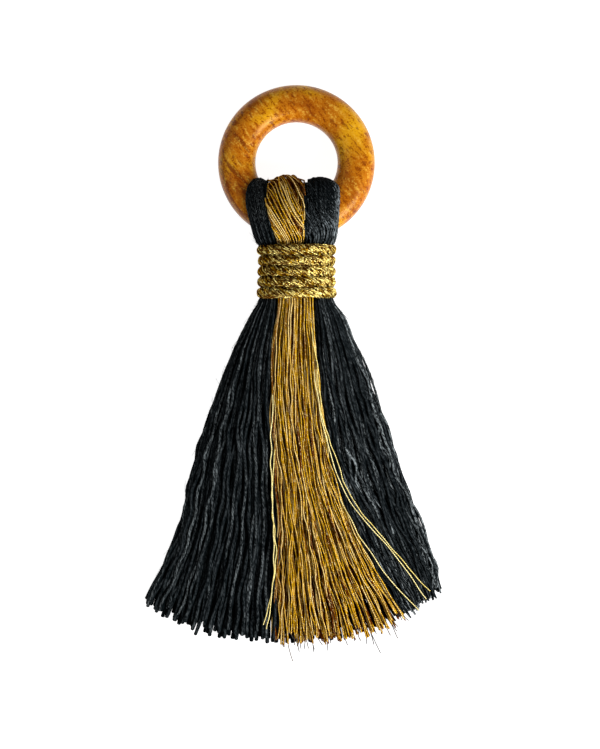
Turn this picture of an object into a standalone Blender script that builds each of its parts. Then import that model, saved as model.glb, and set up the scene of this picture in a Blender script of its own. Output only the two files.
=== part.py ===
"""A tassel: three hanks of yarn looped over a turned wooden ring and bound with cord.

The tassel lies on its back on a surface. The origin is on that surface, under the middle
turn of the binding. +Y runs up to the ring, +X to the right and +Z up off the surface.
Sizes below are in millimetres.
"""
from collections import namedtuple
import math
import random

import bmesh
import bpy
from mathutils import Matrix

MM = 0.001
CLEARANCE = 0.3          # the gap that touching pieces keep

# The wooden ring. It leans on the yarn, with its far rim down on the surface.
RING_OUTER_R = 15.0
RING_HOLE_R = 7.85
RING_THICKNESS = 6.4
RING_CENTRE_Y = 20.8
RING_TILT = math.radians(7.5)
RING_SQUARENESS = 2.3    # 2 is an elliptical section, more has fuller corners
RING_FLAT_DEPTH = 0.15   # how much of the far rim the resting flat takes off
RING_SECTION_POINTS = 18
RING_STEPS = 60

# The cord binding, five turns side by side round the neck of the yarn.
CORD_TURNS = 5
CORD_PITCH = 2.04
NECK_HEIGHT = 6.45       # of the neck's middle above the surface
NECK_HALF_WIDTH = 5.4
NECK_HALF_HEIGHT = 4.3
BINDING_HALF_WIDTH = 7.75
BINDING_TOP_REACH = 6.45
BINDING_LOW_REACH = 6.95     # more than the neck's height, so that it rests on a flat
GROOVE_DEPTH = 0.45
GROOVE_SHARPNESS = 3         # 1 is a broad groove, more is a narrow one between round cords
BINDING_SIDES = 36
STATIONS_PER_TURN = 5

# The yarn as it lies: a row for each section across it. y is where the section crosses
# the middle. left, seam_left, seam_right and right are the two outer edges and the two
# seams between the hanks. low, side and high are the heights of its underside, of its
# outer edges and of its crown, and fullness is how square its crown is. A low under zero
# is pressed flat by the surface.
Section = namedtuple("Section", "y left seam_left seam_right right low side high fullness")
SECTIONS = (
    Section(-70.0, -29.2, -4.7, 20.9, 27.5, -0.4, 0.9, 3.2, 2.9),
    Section(-65.0, -27.4, -4.7, 18.8, 27.0, -0.4, 0.9, 3.9, 2.9),
    Section(-60.0, -25.6, -4.5, 16.2, 25.9, -0.4, 0.9, 4.5, 2.9),
    Section(-50.0, -22.5, -4.0, 11.6, 23.2, -0.4, 0.9, 5.4, 2.8),
    Section(-40.0, -20.6, -4.2, 7.6, 20.3, -0.4, 1.0, 6.4, 2.7),
    Section(-30.0, -17.7, -5.0, 5.7, 17.2, -0.4, 1.2, 7.5, 2.6),
    Section(-20.0, -14.2, -5.1, 4.4, 13.7, -0.4, 1.8, 8.6, 2.5),
    Section(-14.0, -11.8, -4.8, 3.9, 11.5, -0.4, 2.6, 9.4, 2.4),
    Section(-10.0, -9.8, -4.3, 3.6, 10.0, -0.2, 3.8, 10.2, 2.2),
    Section(-7.7, -8.6, -4.0, 3.5, 8.7, 0.8, 5.0, 10.9, 2.1),
    Section(-6.2, -7.5, -3.8, 3.4, 7.2, 1.7, 6.0, 11.1, 2.0),
    Section(-5.4, -5.4, -3.7, 3.3, 5.4, 2.15, 6.45, 10.75, 2.0),
    Section(0.0, -5.4, -3.6, 2.4, 5.4, 2.15, 6.45, 10.75, 2.0),
    Section(5.4, -5.4, -3.4, 1.5, 5.4, 2.15, 6.45, 10.75, 2.0),
    Section(6.3, -8.2, -4.0, 1.5, 7.8, 1.3, 6.4, 11.8, 2.4),
    Section(8.0, -9.0, -4.6, 1.6, 8.1, 0.2, 6.4, 12.6, 3.0),
    Section(10.5, -9.6, -5.3, 1.7, 8.4, -0.3, 6.4, 13.0, 3.8),
    Section(13.5, -9.9, -5.8, 1.7, 8.5, -0.1, 6.4, 12.8, 4.2),
    Section(15.8, -9.7, -5.6, 1.6, 8.4, 0.8, 6.4, 12.0, 4.2),
    Section(17.2, -9.2, -5.2, 1.4, 8.1, 2.4, 6.4, 10.7, 3.8),
    Section(18.0, -8.6, -4.8, 1.2, 7.6, 4.8, 6.4, 8.2, 3.0),
)
SKIRT_START = -5.4       # where the yarn leaves the binding below
HEAD_START = 5.4         # and above
LONG_STEP = 5.5          # sections further apart than this get one more between them
SEAM_GAP = 0.32          # between two hanks, side by side
SIDE_RIM = 0.35          # half the thickness left at an outer edge
SWEEP_SPAN = 28.0        # how far out the cut ends have swept up by one of the next two
SWEEP_LEFT = 6.5
SWEEP_RIGHT = 10.0
HEAD_ROUNDING = 0.9      # how far the sides of each looped head drop below its crown
STRAND_GROOVE = 0.5      # the deepest furrow between two bunches of strands
CUT_UNEVENNESS = 1.3     # how far a bunch's cut end is out of line

# The block that stands for the surface under the tassel.
SURFACE_SIZE = 60.0
SURFACE_DEPTH = 5.0

# A row for each hank: the sections' columns that bound it, its bunches of strands, how
# much they crowd towards each of its edges (1 is not at all), and its finish.
Hank = namedtuple("Hank", "name start end bunches crowd_start crowd_end material")
HANKS = (
    Hank("hank_left", "left", "seam_left", 11, 1.2, 1.0, "charcoal_yarn"),
    Hank("hank_gold", "seam_left", "seam_right", 10, 1.0, 1.0, "gold_thread"),
    Hank("hank_right", "seam_right", "right", 8, 1.0, 1.2, "charcoal_yarn"),
)

Finish = namedtuple("Finish", "colour roughness metallic")
FINISHES = {
    "charcoal_yarn": Finish((0.018, 0.021, 0.026), 0.9, 0.0),
    "gold_thread": Finish((0.55, 0.33, 0.07), 0.45, 0.8),
    "gold_cord": Finish((0.45, 0.33, 0.05), 0.4, 0.8),
    "varnished_wood": Finish((0.42, 0.15, 0.02), 0.3, 0.0),
}


def clear_scene():
    """Remove whatever the scene starts with."""
    for found in list(bpy.data.objects):
        bpy.data.objects.remove(found, do_unlink=True)


def new_collection(name):
    collection = bpy.data.collections.new(name)
    bpy.context.scene.collection.children.link(collection)
    return collection


def make_material(name):
    finish = FINISHES[name]
    material = bpy.data.materials.new(name)
    material.use_nodes = True
    shader = material.node_tree.nodes["Principled BSDF"]
    shader.inputs["Base Color"].default_value = (*finish.colour, 1.0)
    shader.inputs["Roughness"].default_value = finish.roughness
    shader.inputs["Metallic"].default_value = finish.metallic
    return material


def add_object(name, mesh, collection, material=None):
    made = bpy.data.objects.new(name, mesh)
    collection.objects.link(made)
    if material:
        mesh.materials.append(material)
    return made


def make_cutter(cutter):
    cutter.hide_render = True
    cutter.display_type = "WIRE"
    return cutter


def cut(target, cutter):
    boolean = target.modifiers.new(cutter.name, "BOOLEAN")
    boolean.operation = "DIFFERENCE"
    boolean.solver = "EXACT"
    boolean.object = cutter


def superellipse(angle, half_width, half_height, power):
    """The point of a superellipse in the direction of angle."""
    across, up = math.cos(angle), math.sin(angle)
    reach = (abs(across) ** power + abs(up) ** power) ** (-1 / power)
    return half_width * reach * across, half_height * reach * up


# ---------------------------------------------------------------- the wooden ring


def ring_section(margin):
    """The ring's section as radius and height pairs, made larger all round by margin."""
    middle = (RING_OUTER_R + RING_HOLE_R) / 2
    half_width = (RING_OUTER_R - RING_HOLE_R) / 2 + margin
    half_height = RING_THICKNESS / 2 + margin
    points = []
    for step in range(RING_SECTION_POINTS):
        # Clockwise from the top, so that the outer side is drawn downwards.
        angle = math.pi / 2 - 2 * math.pi * step / RING_SECTION_POINTS
        across, up = superellipse(angle, half_width, half_height, RING_SQUARENESS)
        points.append((middle + across, up))
    return points


def ring_centre_height():
    """The height at which the far rim reaches just under the surface."""
    lowest = min(
        up * math.cos(RING_TILT) - radius * math.sin(RING_TILT)
        for radius, up in ring_section(0.0)
    )
    return -lowest - RING_FLAT_DEPTH


def turned_ring(name, margin, collection, material=None):
    mesh = bpy.data.meshes.new(name)
    points = ring_section(margin)
    edges = [(step, (step + 1) % len(points)) for step in range(len(points))]
    mesh.from_pydata([(radius * MM, 0, up * MM) for radius, up in points], edges, [])
    ring = add_object(name, mesh, collection, material)
    ring.location = (0, RING_CENTRE_Y * MM, ring_centre_height() * MM)
    ring.rotation_euler = (-RING_TILT, 0, 0)
    screw = ring.modifiers.new("turning", "SCREW")
    screw.steps = screw.render_steps = RING_STEPS
    screw.use_smooth_shade = True
    return ring


def surface_cutter(collection):
    """The block under the surface, which takes a resting flat off what reaches into it."""
    mesh = bpy.data.meshes.new("surface_cutter")
    block = bmesh.new()
    bmesh.ops.create_cube(block, size=MM)
    stretch = Matrix.Diagonal((SURFACE_SIZE, SURFACE_SIZE, SURFACE_DEPTH, 1))
    bmesh.ops.transform(block, matrix=stretch, verts=block.verts)
    block.to_mesh(mesh)
    block.free()
    cutter = add_object("surface_cutter", mesh, collection)
    cutter.location = (0, RING_CENTRE_Y * MM, -SURFACE_DEPTH / 2 * MM)
    return make_cutter(cutter)


# ---------------------------------------------------------------- the hanks


def smoothed_between(rows, index):
    """A section between rows index and index + 1, on a smooth curve through four rows."""
    before, first, second, after = (
        rows[min(max(index + step, 0), len(rows) - 1)] for step in (-1, 0, 1, 2)
    )
    # Rows are unevenly spaced, so each end's slope is taken per millimetre of y.
    gap = second.y - first.y
    middle = []
    for name in Section._fields:
        values = [getattr(row, name) for row in (before, first, second, after)]
        leaving = (values[2] - values[0]) / (second.y - before.y)
        arriving = (values[3] - values[1]) / (after.y - first.y)
        middle.append((values[1] + values[2]) / 2 + gap * (leaving - arriving) / 8)
    return Section(*middle)


def all_sections():
    """The table's rows, with one more wherever two lie far apart."""
    rows = []
    for index, row in enumerate(SECTIONS):
        rows.append(row)
        if row is not SECTIONS[-1] and SECTIONS[index + 1].y - row.y > LONG_STEP:
            rows.append(smoothed_between(SECTIONS, index))
    return rows


def crown(section, x):
    """How full the yarn is at x, from 0 at an outer edge to 1 in the middle."""
    middle = (section.left + section.right) / 2
    off = abs(x - middle) / ((section.right - section.left) / 2)
    return math.sqrt(max(0.0, 1 - min(off, 1.0) ** section.fullness))


def swept(section, x):
    """Where a section lies at x: the ends of the fan sweep up towards the neck."""
    along = max(0.0, (section.y - SKIRT_START) / (SECTIONS[0].y - SKIRT_START))
    sweep = SWEEP_LEFT if x < 0 else SWEEP_RIGHT
    return section.y + along * sweep * abs(x / SWEEP_SPAN) ** 3


def hank_columns(hank):
    """How far across the hank each line of its strands lies, from 0 to 1."""
    count = 2 * hank.bunches
    shares = []
    for step in range(count + 1):
        share = (step / count) ** hank.crowd_start
        shares.append(1 - (1 - share) ** hank.crowd_end)
    return shares


def hank_ring(hank, section, furrows, ends):
    """The closed ring of points round one section of a hank: its top, then its underside."""
    start = getattr(section, hank.start) + (SEAM_GAP / 2 if hank.start != "left" else 0.0)
    end = getattr(section, hank.end) - (SEAM_GAP / 2 if hank.end != "right" else 0.0)
    head = max(0.0, (section.y - HEAD_START) / (SECTIONS[-1].y - HEAD_START))
    top, under = [], []
    for share, furrow, cut_end in zip(hank_columns(hank), furrows, ends):
        x = start + share * (end - start)
        y = swept(section, x) - HEAD_ROUNDING * head**2 * (2 * share - 1) ** 2
        if section is SECTIONS[0]:
            y += cut_end
        full = crown(section, x)
        rim = SIDE_RIM * (1 - full)
        high = section.side + rim + (section.high - section.side) * full
        low = max(0.0, section.side - rim - (section.side - section.low) * full)
        high -= min(furrow, (high - low) / 4)
        top.append((x * MM, y * MM, high * MM))
        under.append((x * MM, y * MM, low * MM))
    return top + under[::-1]


def make_hank(hank, collection, material, ring_cutter):
    """One hank lofted through the sections, with the ring's way cut through its head."""
    rng = random.Random(hank.name)
    count = 2 * hank.bunches + 1
    # Lines run in turn along a bunch's crest and the furrow next to it.
    furrows = [STRAND_GROOVE * rng.uniform(0.5, 1.0) * (line % 2) for line in range(count)]
    ends = [CUT_UNEVENNESS * rng.uniform(0.3, 1.0) * (-1) ** (line + 1) for line in range(count)]

    loft = bmesh.new()
    rings = [
        [loft.verts.new(point) for point in hank_ring(hank, section, furrows, ends)]
        for section in all_sections()
    ]
    size = len(rings[0])
    for lower, upper in zip(rings, rings[1:]):
        for here in range(size):
            beside = (here + 1) % size
            loft.faces.new((lower[here], lower[beside], upper[beside], upper[here]))
    for line in range(count - 1):
        across = (line, size - 1 - line, size - 2 - line, line + 1)
        loft.faces.new([rings[0][point] for point in across])
        loft.faces.new([rings[-1][point] for point in across[::-1]])
    mesh = bpy.data.meshes.new(hank.name)
    loft.to_mesh(mesh)
    loft.free()
    made = add_object(hank.name, mesh, collection, material)
    cut(made, ring_cutter)
    return made


# ---------------------------------------------------------------- the binding


def binding_ring(y):
    """The outside of the wound cord at y, as points round the neck."""
    points = []
    for side in range(BINDING_SIDES):
        angle = 2 * math.pi * side / BINDING_SIDES
        # The crest of each turn moves along by one pitch a turn.
        phase = y / CORD_PITCH - side / BINDING_SIDES
        groove = GROOVE_DEPTH * abs(math.sin(math.pi * phase)) ** GROOVE_SHARPNESS
        across, up = math.cos(angle), math.sin(angle)
        reach = BINDING_TOP_REACH if up > 0 else BINDING_LOW_REACH
        x = (BINDING_HALF_WIDTH - groove) * across
        z = max(0.0, NECK_HEIGHT + (reach - groove) * up)
        points.append((x * MM, y * MM, z * MM))
    return points


def bore_ring(y):
    """The inside of the wound cord at y, one clearance out from the yarn."""
    points = []
    for side in range(BINDING_SIDES):
        angle = 2 * math.pi * side / BINDING_SIDES
        x = (NECK_HALF_WIDTH + CLEARANCE) * math.cos(angle)
        z = NECK_HEIGHT + (NECK_HALF_HEIGHT + CLEARANCE) * math.sin(angle)
        points.append((x * MM, y * MM, z * MM))
    return points


def make_binding(collection, material):
    """The five turns as one sleeve with a helical groove between them."""
    half_length = CORD_TURNS * CORD_PITCH / 2
    stations = CORD_TURNS * STATIONS_PER_TURN
    outside = [
        binding_ring(-half_length + 2 * half_length * station / stations)
        for station in range(stations + 1)
    ]
    inside = [bore_ring(half_length), bore_ring(-half_length)]
    loft = bmesh.new()
    rings = [[loft.verts.new(point) for point in ring] for ring in outside + inside]
    for ring, following in zip(rings, rings[1:] + rings[:1]):
        for side in range(BINDING_SIDES):
            beside = (side + 1) % BINDING_SIDES
            loft.faces.new((ring[side], following[side], following[beside], ring[beside]))
    mesh = bpy.data.meshes.new("binding")
    loft.to_mesh(mesh)
    loft.free()
    return add_object("binding", mesh, collection, material)


def main():
    clear_scene()
    tassel = new_collection("tassel")
    cutters = new_collection("cutters")
    materials = {name: make_material(name) for name in FINISHES}

    ring = turned_ring("ring", 0.0, tassel, materials["varnished_wood"])
    cut(ring, surface_cutter(cutters))
    ring_cutter = make_cutter(turned_ring("ring_cutter", CLEARANCE, cutters))
    for hank in HANKS:
        make_hank(hank, tassel, materials[hank.material], ring_cutter)
    make_binding(tassel, materials["gold_cord"])


main()
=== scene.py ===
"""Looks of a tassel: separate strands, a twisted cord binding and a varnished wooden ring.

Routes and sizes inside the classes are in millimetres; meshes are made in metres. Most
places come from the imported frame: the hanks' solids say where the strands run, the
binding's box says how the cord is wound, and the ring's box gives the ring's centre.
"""

from __future__ import annotations

import logging
import math
from dataclasses import dataclass, field
from enum import Enum

import bpy
import numpy as np
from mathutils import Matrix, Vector

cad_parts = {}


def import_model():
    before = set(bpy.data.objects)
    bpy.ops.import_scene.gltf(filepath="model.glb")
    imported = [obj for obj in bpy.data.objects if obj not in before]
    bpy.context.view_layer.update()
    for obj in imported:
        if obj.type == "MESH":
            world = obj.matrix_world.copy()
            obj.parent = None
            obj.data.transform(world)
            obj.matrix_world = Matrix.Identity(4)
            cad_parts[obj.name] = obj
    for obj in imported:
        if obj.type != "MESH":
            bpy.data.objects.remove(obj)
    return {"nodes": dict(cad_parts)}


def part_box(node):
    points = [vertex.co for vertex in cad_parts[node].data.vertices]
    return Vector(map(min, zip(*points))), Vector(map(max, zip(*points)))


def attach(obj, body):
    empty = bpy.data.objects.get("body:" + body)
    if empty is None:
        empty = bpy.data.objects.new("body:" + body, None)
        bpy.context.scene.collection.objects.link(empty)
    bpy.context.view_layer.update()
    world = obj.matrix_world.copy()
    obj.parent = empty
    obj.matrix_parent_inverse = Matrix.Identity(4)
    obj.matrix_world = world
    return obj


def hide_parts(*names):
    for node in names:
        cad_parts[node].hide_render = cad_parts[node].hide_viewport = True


LOG = logging.getLogger("tassel")
MM = 0.001
BODY = "root"
STRAND_MAP = "strand"
BAKE_MAP = "OFBake"
FOILS_APART = 173.0
Colour = tuple[float, float, float]
Span = tuple[float, float]
UP = np.array([0.0, 0.0, 1.0])


# ---------------------------------------------------------------- node trees


class Graph:
    """A short way to write a node tree."""

    def __init__(self, tree: bpy.types.NodeTree) -> None:
        """Args:
            tree: The tree that nodes are added to.
        """
        self.tree = tree

    def node(self, kind: str, inputs: dict | None = None, **settings: object) -> bpy.types.Node:
        """Add a node.

        Args:
            kind: The node's type name.
            inputs: A value or a socket to link, for each input by name or number.
            settings: The node's own properties.

        Returns:
            The new node.
        """
        made = self.tree.nodes.new(kind)
        for name, value in settings.items():
            setattr(made, name, value)
        self.feed_all(made, inputs or {})
        return made

    def feed(self, socket: bpy.types.NodeSocket, value: object) -> None:
        """Link a socket to an input, or set the input's own value.

        Args:
            socket: The input.
            value: A socket to link, or a number, colour or vector.
        """
        if isinstance(value, bpy.types.NodeSocket):
            self.tree.links.new(value, socket)
        elif socket.type == "RGBA" and len(value) == 3:
            socket.default_value = (*value, 1.0)
        else:
            socket.default_value = value

    def feed_all(self, node: bpy.types.Node, values: dict) -> None:
        """Link or set several inputs of a node.

        Args:
            node: The node.
            values: A value or a socket for each input, by name or number.
        """
        for name, value in values.items():
            self.feed(node.inputs[name], value)

    def group(self, name: str, values: dict) -> bpy.types.bpy_prop_collection:
        """Place one of the shared groups and return its outputs."""
        return self.node("ShaderNodeGroup", values, node_tree=shared_group(name)).outputs

    def attribute(self, name: str) -> bpy.types.NodeSocket:
        """A number that the mesh stores at each point."""
        return self.node("ShaderNodeAttribute", attribute_name=name).outputs["Fac"]

    def place(self) -> bpy.types.NodeSocket:
        """The place of each point on the object, in metres."""
        return self.node("ShaderNodeTexCoord").outputs["Object"]

    def parts(self, vector: bpy.types.NodeSocket) -> bpy.types.bpy_prop_collection:
        """The X, Y and Z of a vector."""
        return self.node("ShaderNodeSeparateXYZ", {"Vector": vector}).outputs

    def vector(self, *parts: object) -> bpy.types.NodeSocket:
        """A vector made of up to three numbers."""
        return self.node("ShaderNodeCombineXYZ", dict(zip("XYZ", parts))).outputs[0]

    def math(self, operation: str, *values: object) -> bpy.types.NodeSocket:
        """Add a Math node and return its result."""
        return self.node("ShaderNodeMath", dict(enumerate(values)), operation=operation).outputs[0]

    def mix(self, factor: object, first: object, second: object) -> bpy.types.NodeSocket:
        """Mix two colours.

        Args:
            factor: 0 for the first colour, 1 for the second.
            first: A colour or a socket.
            second: A colour or a socket.

        Returns:
            The mixed colour.
        """
        made = self.node("ShaderNodeMix", data_type="RGBA")
        self.feed_all(made, {"Factor": factor, 6: first, 7: second})
        return made.outputs[2]

    def weigh(self, first: object, second: object, share: float) -> bpy.types.NodeSocket:
        """A share of one value with the rest from another."""
        rest = self.math("MULTIPLY", second, 1.0 - share)
        return self.math("ADD", self.math("MULTIPLY", first, share), rest)

    def between(self, value: object, span: Span, strength: float = 1.0) -> bpy.types.NodeSocket:
        """A smooth step of a value over a span.

        Args:
            value: A number or a socket.
            span: Where the step is 0 and where it is full.
            strength: What it is when it is full.

        Returns:
            The step.
        """
        inputs = {"Value": value, "From Min": span[0], "From Max": span[1]}
        made = self.node("ShaderNodeMapRange", inputs, interpolation_type="SMOOTHSTEP")
        step = made.outputs["Result"]
        return step if strength == 1.0 else self.math("MULTIPLY", step, strength)

    def noise(self, place: object, scale: float, detail: float = 2.0) -> bpy.types.NodeSocket:
        """Smooth noise from 0 to 1 at a place.

        Args:
            place: A vector socket.
            scale: How many features a unit of it has.
            detail: How many finer layers it has.

        Returns:
            The noise's value.
        """
        inputs = {"Vector": place, "Scale": scale, "Detail": detail}
        return self.node("ShaderNodeTexNoise", inputs).outputs[0]

    def bump(self, height: object, strength: float, depth: float) -> bpy.types.NodeSocket:
        """A normal from a height, with the bump's strength and its depth in millimetres."""
        inputs = {"Height": height, "Strength": strength, "Distance": depth * MM}
        return self.node("ShaderNodeBump", inputs).outputs["Normal"]


def shader_group(name: str, inputs: dict[str, float], outputs: tuple[str, ...]) -> tuple:
    """Start a shader node group with number inputs and number outputs.

    Args:
        name: The group's name.
        inputs: Each input's name and default.
        outputs: The outputs' names.

    Returns:
        The group's graph, the sockets of its inputs and its output node.
    """
    tree = bpy.data.node_groups.new(name, "ShaderNodeTree")
    for label, default in inputs.items():
        socket = tree.interface.new_socket(label, in_out="INPUT", socket_type="NodeSocketFloat")
        socket.default_value = default
    for label in outputs:
        tree.interface.new_socket(label, in_out="OUTPUT", socket_type="NodeSocketFloat")
    graph = Graph(tree)
    return graph, graph.node("NodeGroupInput").outputs, graph.node("NodeGroupOutput")


def shared_group(name: str) -> bpy.types.NodeTree:
    """One of the effects that several finishes use, built the first time it is asked for.

    Args:
        name: "ply twist", "outward light", "strand tone" or "foil glint".

    Returns:
        The node group.
    """
    builders = {
        "ply twist": build_ply_twist,
        "outward light": build_outward_light,
        "strand tone": build_strand_tone,
        "foil glint": build_foil_glint,
    }
    if name not in bpy.data.node_groups:
        builders[name](name)
    return bpy.data.node_groups[name]


def strand_place(graph: Graph) -> tuple[bpy.types.NodeSocket, bpy.types.NodeSocket]:
    """How far round and how far along a strand a point lies.

    Args:
        graph: The graph that the nodes are added to.

    Returns:
        The turns round the strand, and the millimetres along it.
    """
    parts = graph.parts(graph.node("ShaderNodeUVMap", uv_map=STRAND_MAP).outputs["UV"])
    return parts["X"], parts["Y"]


def build_ply_twist(name: str) -> None:
    """The ridges of twisted plies: Height is 1 on a ply's crest and 0 between two plies.

    Args:
        name: The group's name.
    """
    graph, given, result = shader_group(name, {"Plies": 2.0, "Pitch": 2.5}, ("Height",))
    around, along = strand_place(graph)
    turns = graph.math("ADD", around, graph.math("DIVIDE", along, given["Pitch"]))
    phase = graph.math("MULTIPLY", graph.math("MULTIPLY", turns, given["Plies"]), math.pi)
    graph.feed(result.inputs["Height"], graph.math("ABSOLUTE", graph.math("SINE", phase)))


def build_outward_light(name: str) -> None:
    """How open a point on a strand is, the mask for painted light and painted shade: 1 where it faces out of
    the hank, 0 down in the gaps.

    Args:
        name: The group's name.
    """
    graph, given, result = shader_group(name, {"Rough": 0.0, "Low": 0.0, "High": 1.0}, ("Open",))
    moved = graph.math("ADD", graph.attribute("facing"), given["Rough"])
    share = graph.math("SUBTRACT", moved, given["Low"])
    run = graph.math("SUBTRACT", given["High"], given["Low"])
    graph.feed(result.inputs["Open"], graph.between(graph.math("DIVIDE", share, run), (0.0, 1.0)))


def build_strand_tone(name: str) -> None:
    """How light a strand is: each has its own tone, and it drifts along its length.

    Args:
        name: The group's name.
    """
    strands_apart = 97.0
    graph, given, result = shader_group(name, {"Drift": 0.4, "Length": 6.0}, ("Tone",))
    own = graph.attribute("tone")
    _, along = strand_place(graph)
    steps = graph.math("DIVIDE", along, given["Length"])
    where = graph.vector(steps, graph.math("MULTIPLY", own, strands_apart))
    drift = graph.math("SUBTRACT", graph.noise(where, 1.0), 0.5)
    tone = graph.math("ADD", own, graph.math("MULTIPLY", drift, given["Drift"]))
    graph.feed(result.inputs["Tone"], graph.node("ShaderNodeClamp", {"Value": tone}).outputs[0])


def build_foil_glint(name: str) -> None:
    """Short bright dashes where the foil on a thread faces the light, and dark ones between.

    Args:
        name: The group's name.
    """
    bright, dark, dashes = (0.56, 0.68), (0.46, 0.34), 1.1
    graph, given, result = shader_group(name, {"Length": 1.0, "Lean": 1.0}, ("Glint", "Dark"))
    around, along = strand_place(graph)
    steps = graph.math("DIVIDE", along, given["Length"])
    turns = graph.math("ADD", around, graph.math("MULTIPLY", steps, given["Lean"]))
    turn = graph.math("MULTIPLY", turns, math.tau)
    own = graph.math("MULTIPLY", graph.attribute("tone"), FOILS_APART)
    where = graph.vector(graph.math("COSINE", turn), graph.math("SINE", turn), graph.math("ADD", steps, own))
    speck = graph.noise(where, dashes, 3.0)
    graph.feed(result.inputs["Glint"], graph.between(speck, bright))
    graph.feed(result.inputs["Dark"], graph.between(speck, dark))


# ---------------------------------------------------------------- finishes
#
# A span is where a mask starts and where it is full. A detail is how many features a
# metre has, or a turn of a strand.


def new_material(name: str) -> tuple[bpy.types.Material, Graph, bpy.types.Node]:
    """Start a material.

    Args:
        name: The material's name.

    Returns:
        The material, its graph and its Principled shader.
    """
    material = bpy.data.materials.new(name)
    material.use_nodes = True
    return material, Graph(material.node_tree), material.node_tree.nodes["Principled BSDF"]


@dataclass(frozen=True)
class CharcoalYarn:
    """Soft matt yarn, nearly black, with painted light that makes it paler along the side that faces out, and
    painted shade in the gaps.
    """

    name: str = "charcoal_yarn"
    # shade is the yarn's near-black and the painted shade in the gaps; the next two are the painted highlight
    # on the side that faces out, for the darkest and the palest strands.
    shade: Colour = (0.0012, 0.0024, 0.0030)
    dark_painted_highlight: Colour = (0.0290, 0.0345, 0.0375)
    pale_painted_highlight: Colour = (0.290, 0.325, 0.335)
    # Painted light on the fold over the ring: its colour turns paler there, more so at the right, where the
    # light comes from.
    fold_painted_light: Colour = (0.200, 0.230, 0.245)
    fold_edge: Span = (0.004, 0.009)
    fold_lit: Span = (-0.003, 0.003)
    fold_paler: float = 0.8
    tone_drift: float = 0.7
    tone_length: float = 9.0
    pale_tones: Span = (0.2, 1.0)
    fibre_length: float = 1.9
    fibre_twist: float = 9.0
    fibre_detail: float = 2.5
    fibre_share: float = 0.68
    fuzz_detail: float = 2700.0
    strands_apart: float = 57.0
    ridge_edge: float = 0.7
    ridge: Span = (0.50, 1.12)
    speckles: Span = (0.42, 0.60)
    bump: float = 1.0
    bump_depth: float = 0.1

    def material(self) -> bpy.types.Material:
        """Build the material.

        Returns:
            The material.
        """
        made, graph, shader = new_material(self.name)
        tone = graph.group("strand tone", {"Drift": self.tone_drift, "Length": self.tone_length})["Tone"]
        around, along = strand_place(graph)
        twisted = graph.math("ADD", around, graph.math("DIVIDE", along, self.fibre_twist))
        turn = graph.math("MULTIPLY", twisted, math.tau)
        own = graph.math("MULTIPLY", graph.attribute("tone"), self.strands_apart)
        beside = graph.math("ADD", graph.math("COSINE", turn), own)
        steps = graph.math("DIVIDE", along, self.fibre_length)
        fibre = graph.noise(graph.vector(beside, graph.math("SINE", turn), steps), self.fibre_detail, 3.0)
        place = graph.place()
        fuzz = graph.noise(place, self.fuzz_detail, 4.0)
        woolly = graph.weigh(fibre, fuzz, self.fibre_share)
        rough = graph.math("MULTIPLY", graph.math("SUBTRACT", fibre, 0.5), self.ridge_edge)
        low, high = self.ridge
        # Painted highlight along the side of each strand that faces out of the hank; elsewhere the colour
        # falls to painted shade.
        crest = graph.group("outward light", {"Rough": rough, "Low": low, "High": high})["Open"]
        strand = graph.mix(graph.between(tone, self.pale_tones), self.dark_painted_highlight, self.pale_painted_highlight)
        parts = graph.parts(place)
        # Painted light: paler over the fold, growing towards the right.
        fold = graph.between(parts["Y"], self.fold_edge, self.fold_paler)
        fold = graph.math("MULTIPLY", graph.between(parts["X"], self.fold_lit), fold)
        lit = graph.mix(fold, strand, self.fold_painted_light)
        speckled = graph.math("MULTIPLY", crest, graph.between(woolly, self.speckles))
        graph.feed_all(shader, {
            "Base Color": graph.mix(speckled, self.shade, lit),
            "Roughness": 0.95,
            "Specular IOR Level": 0.03,
            "Normal": graph.bump(graph.math("ADD", fibre, fuzz), self.bump, self.bump_depth),
        })
        return made


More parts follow.
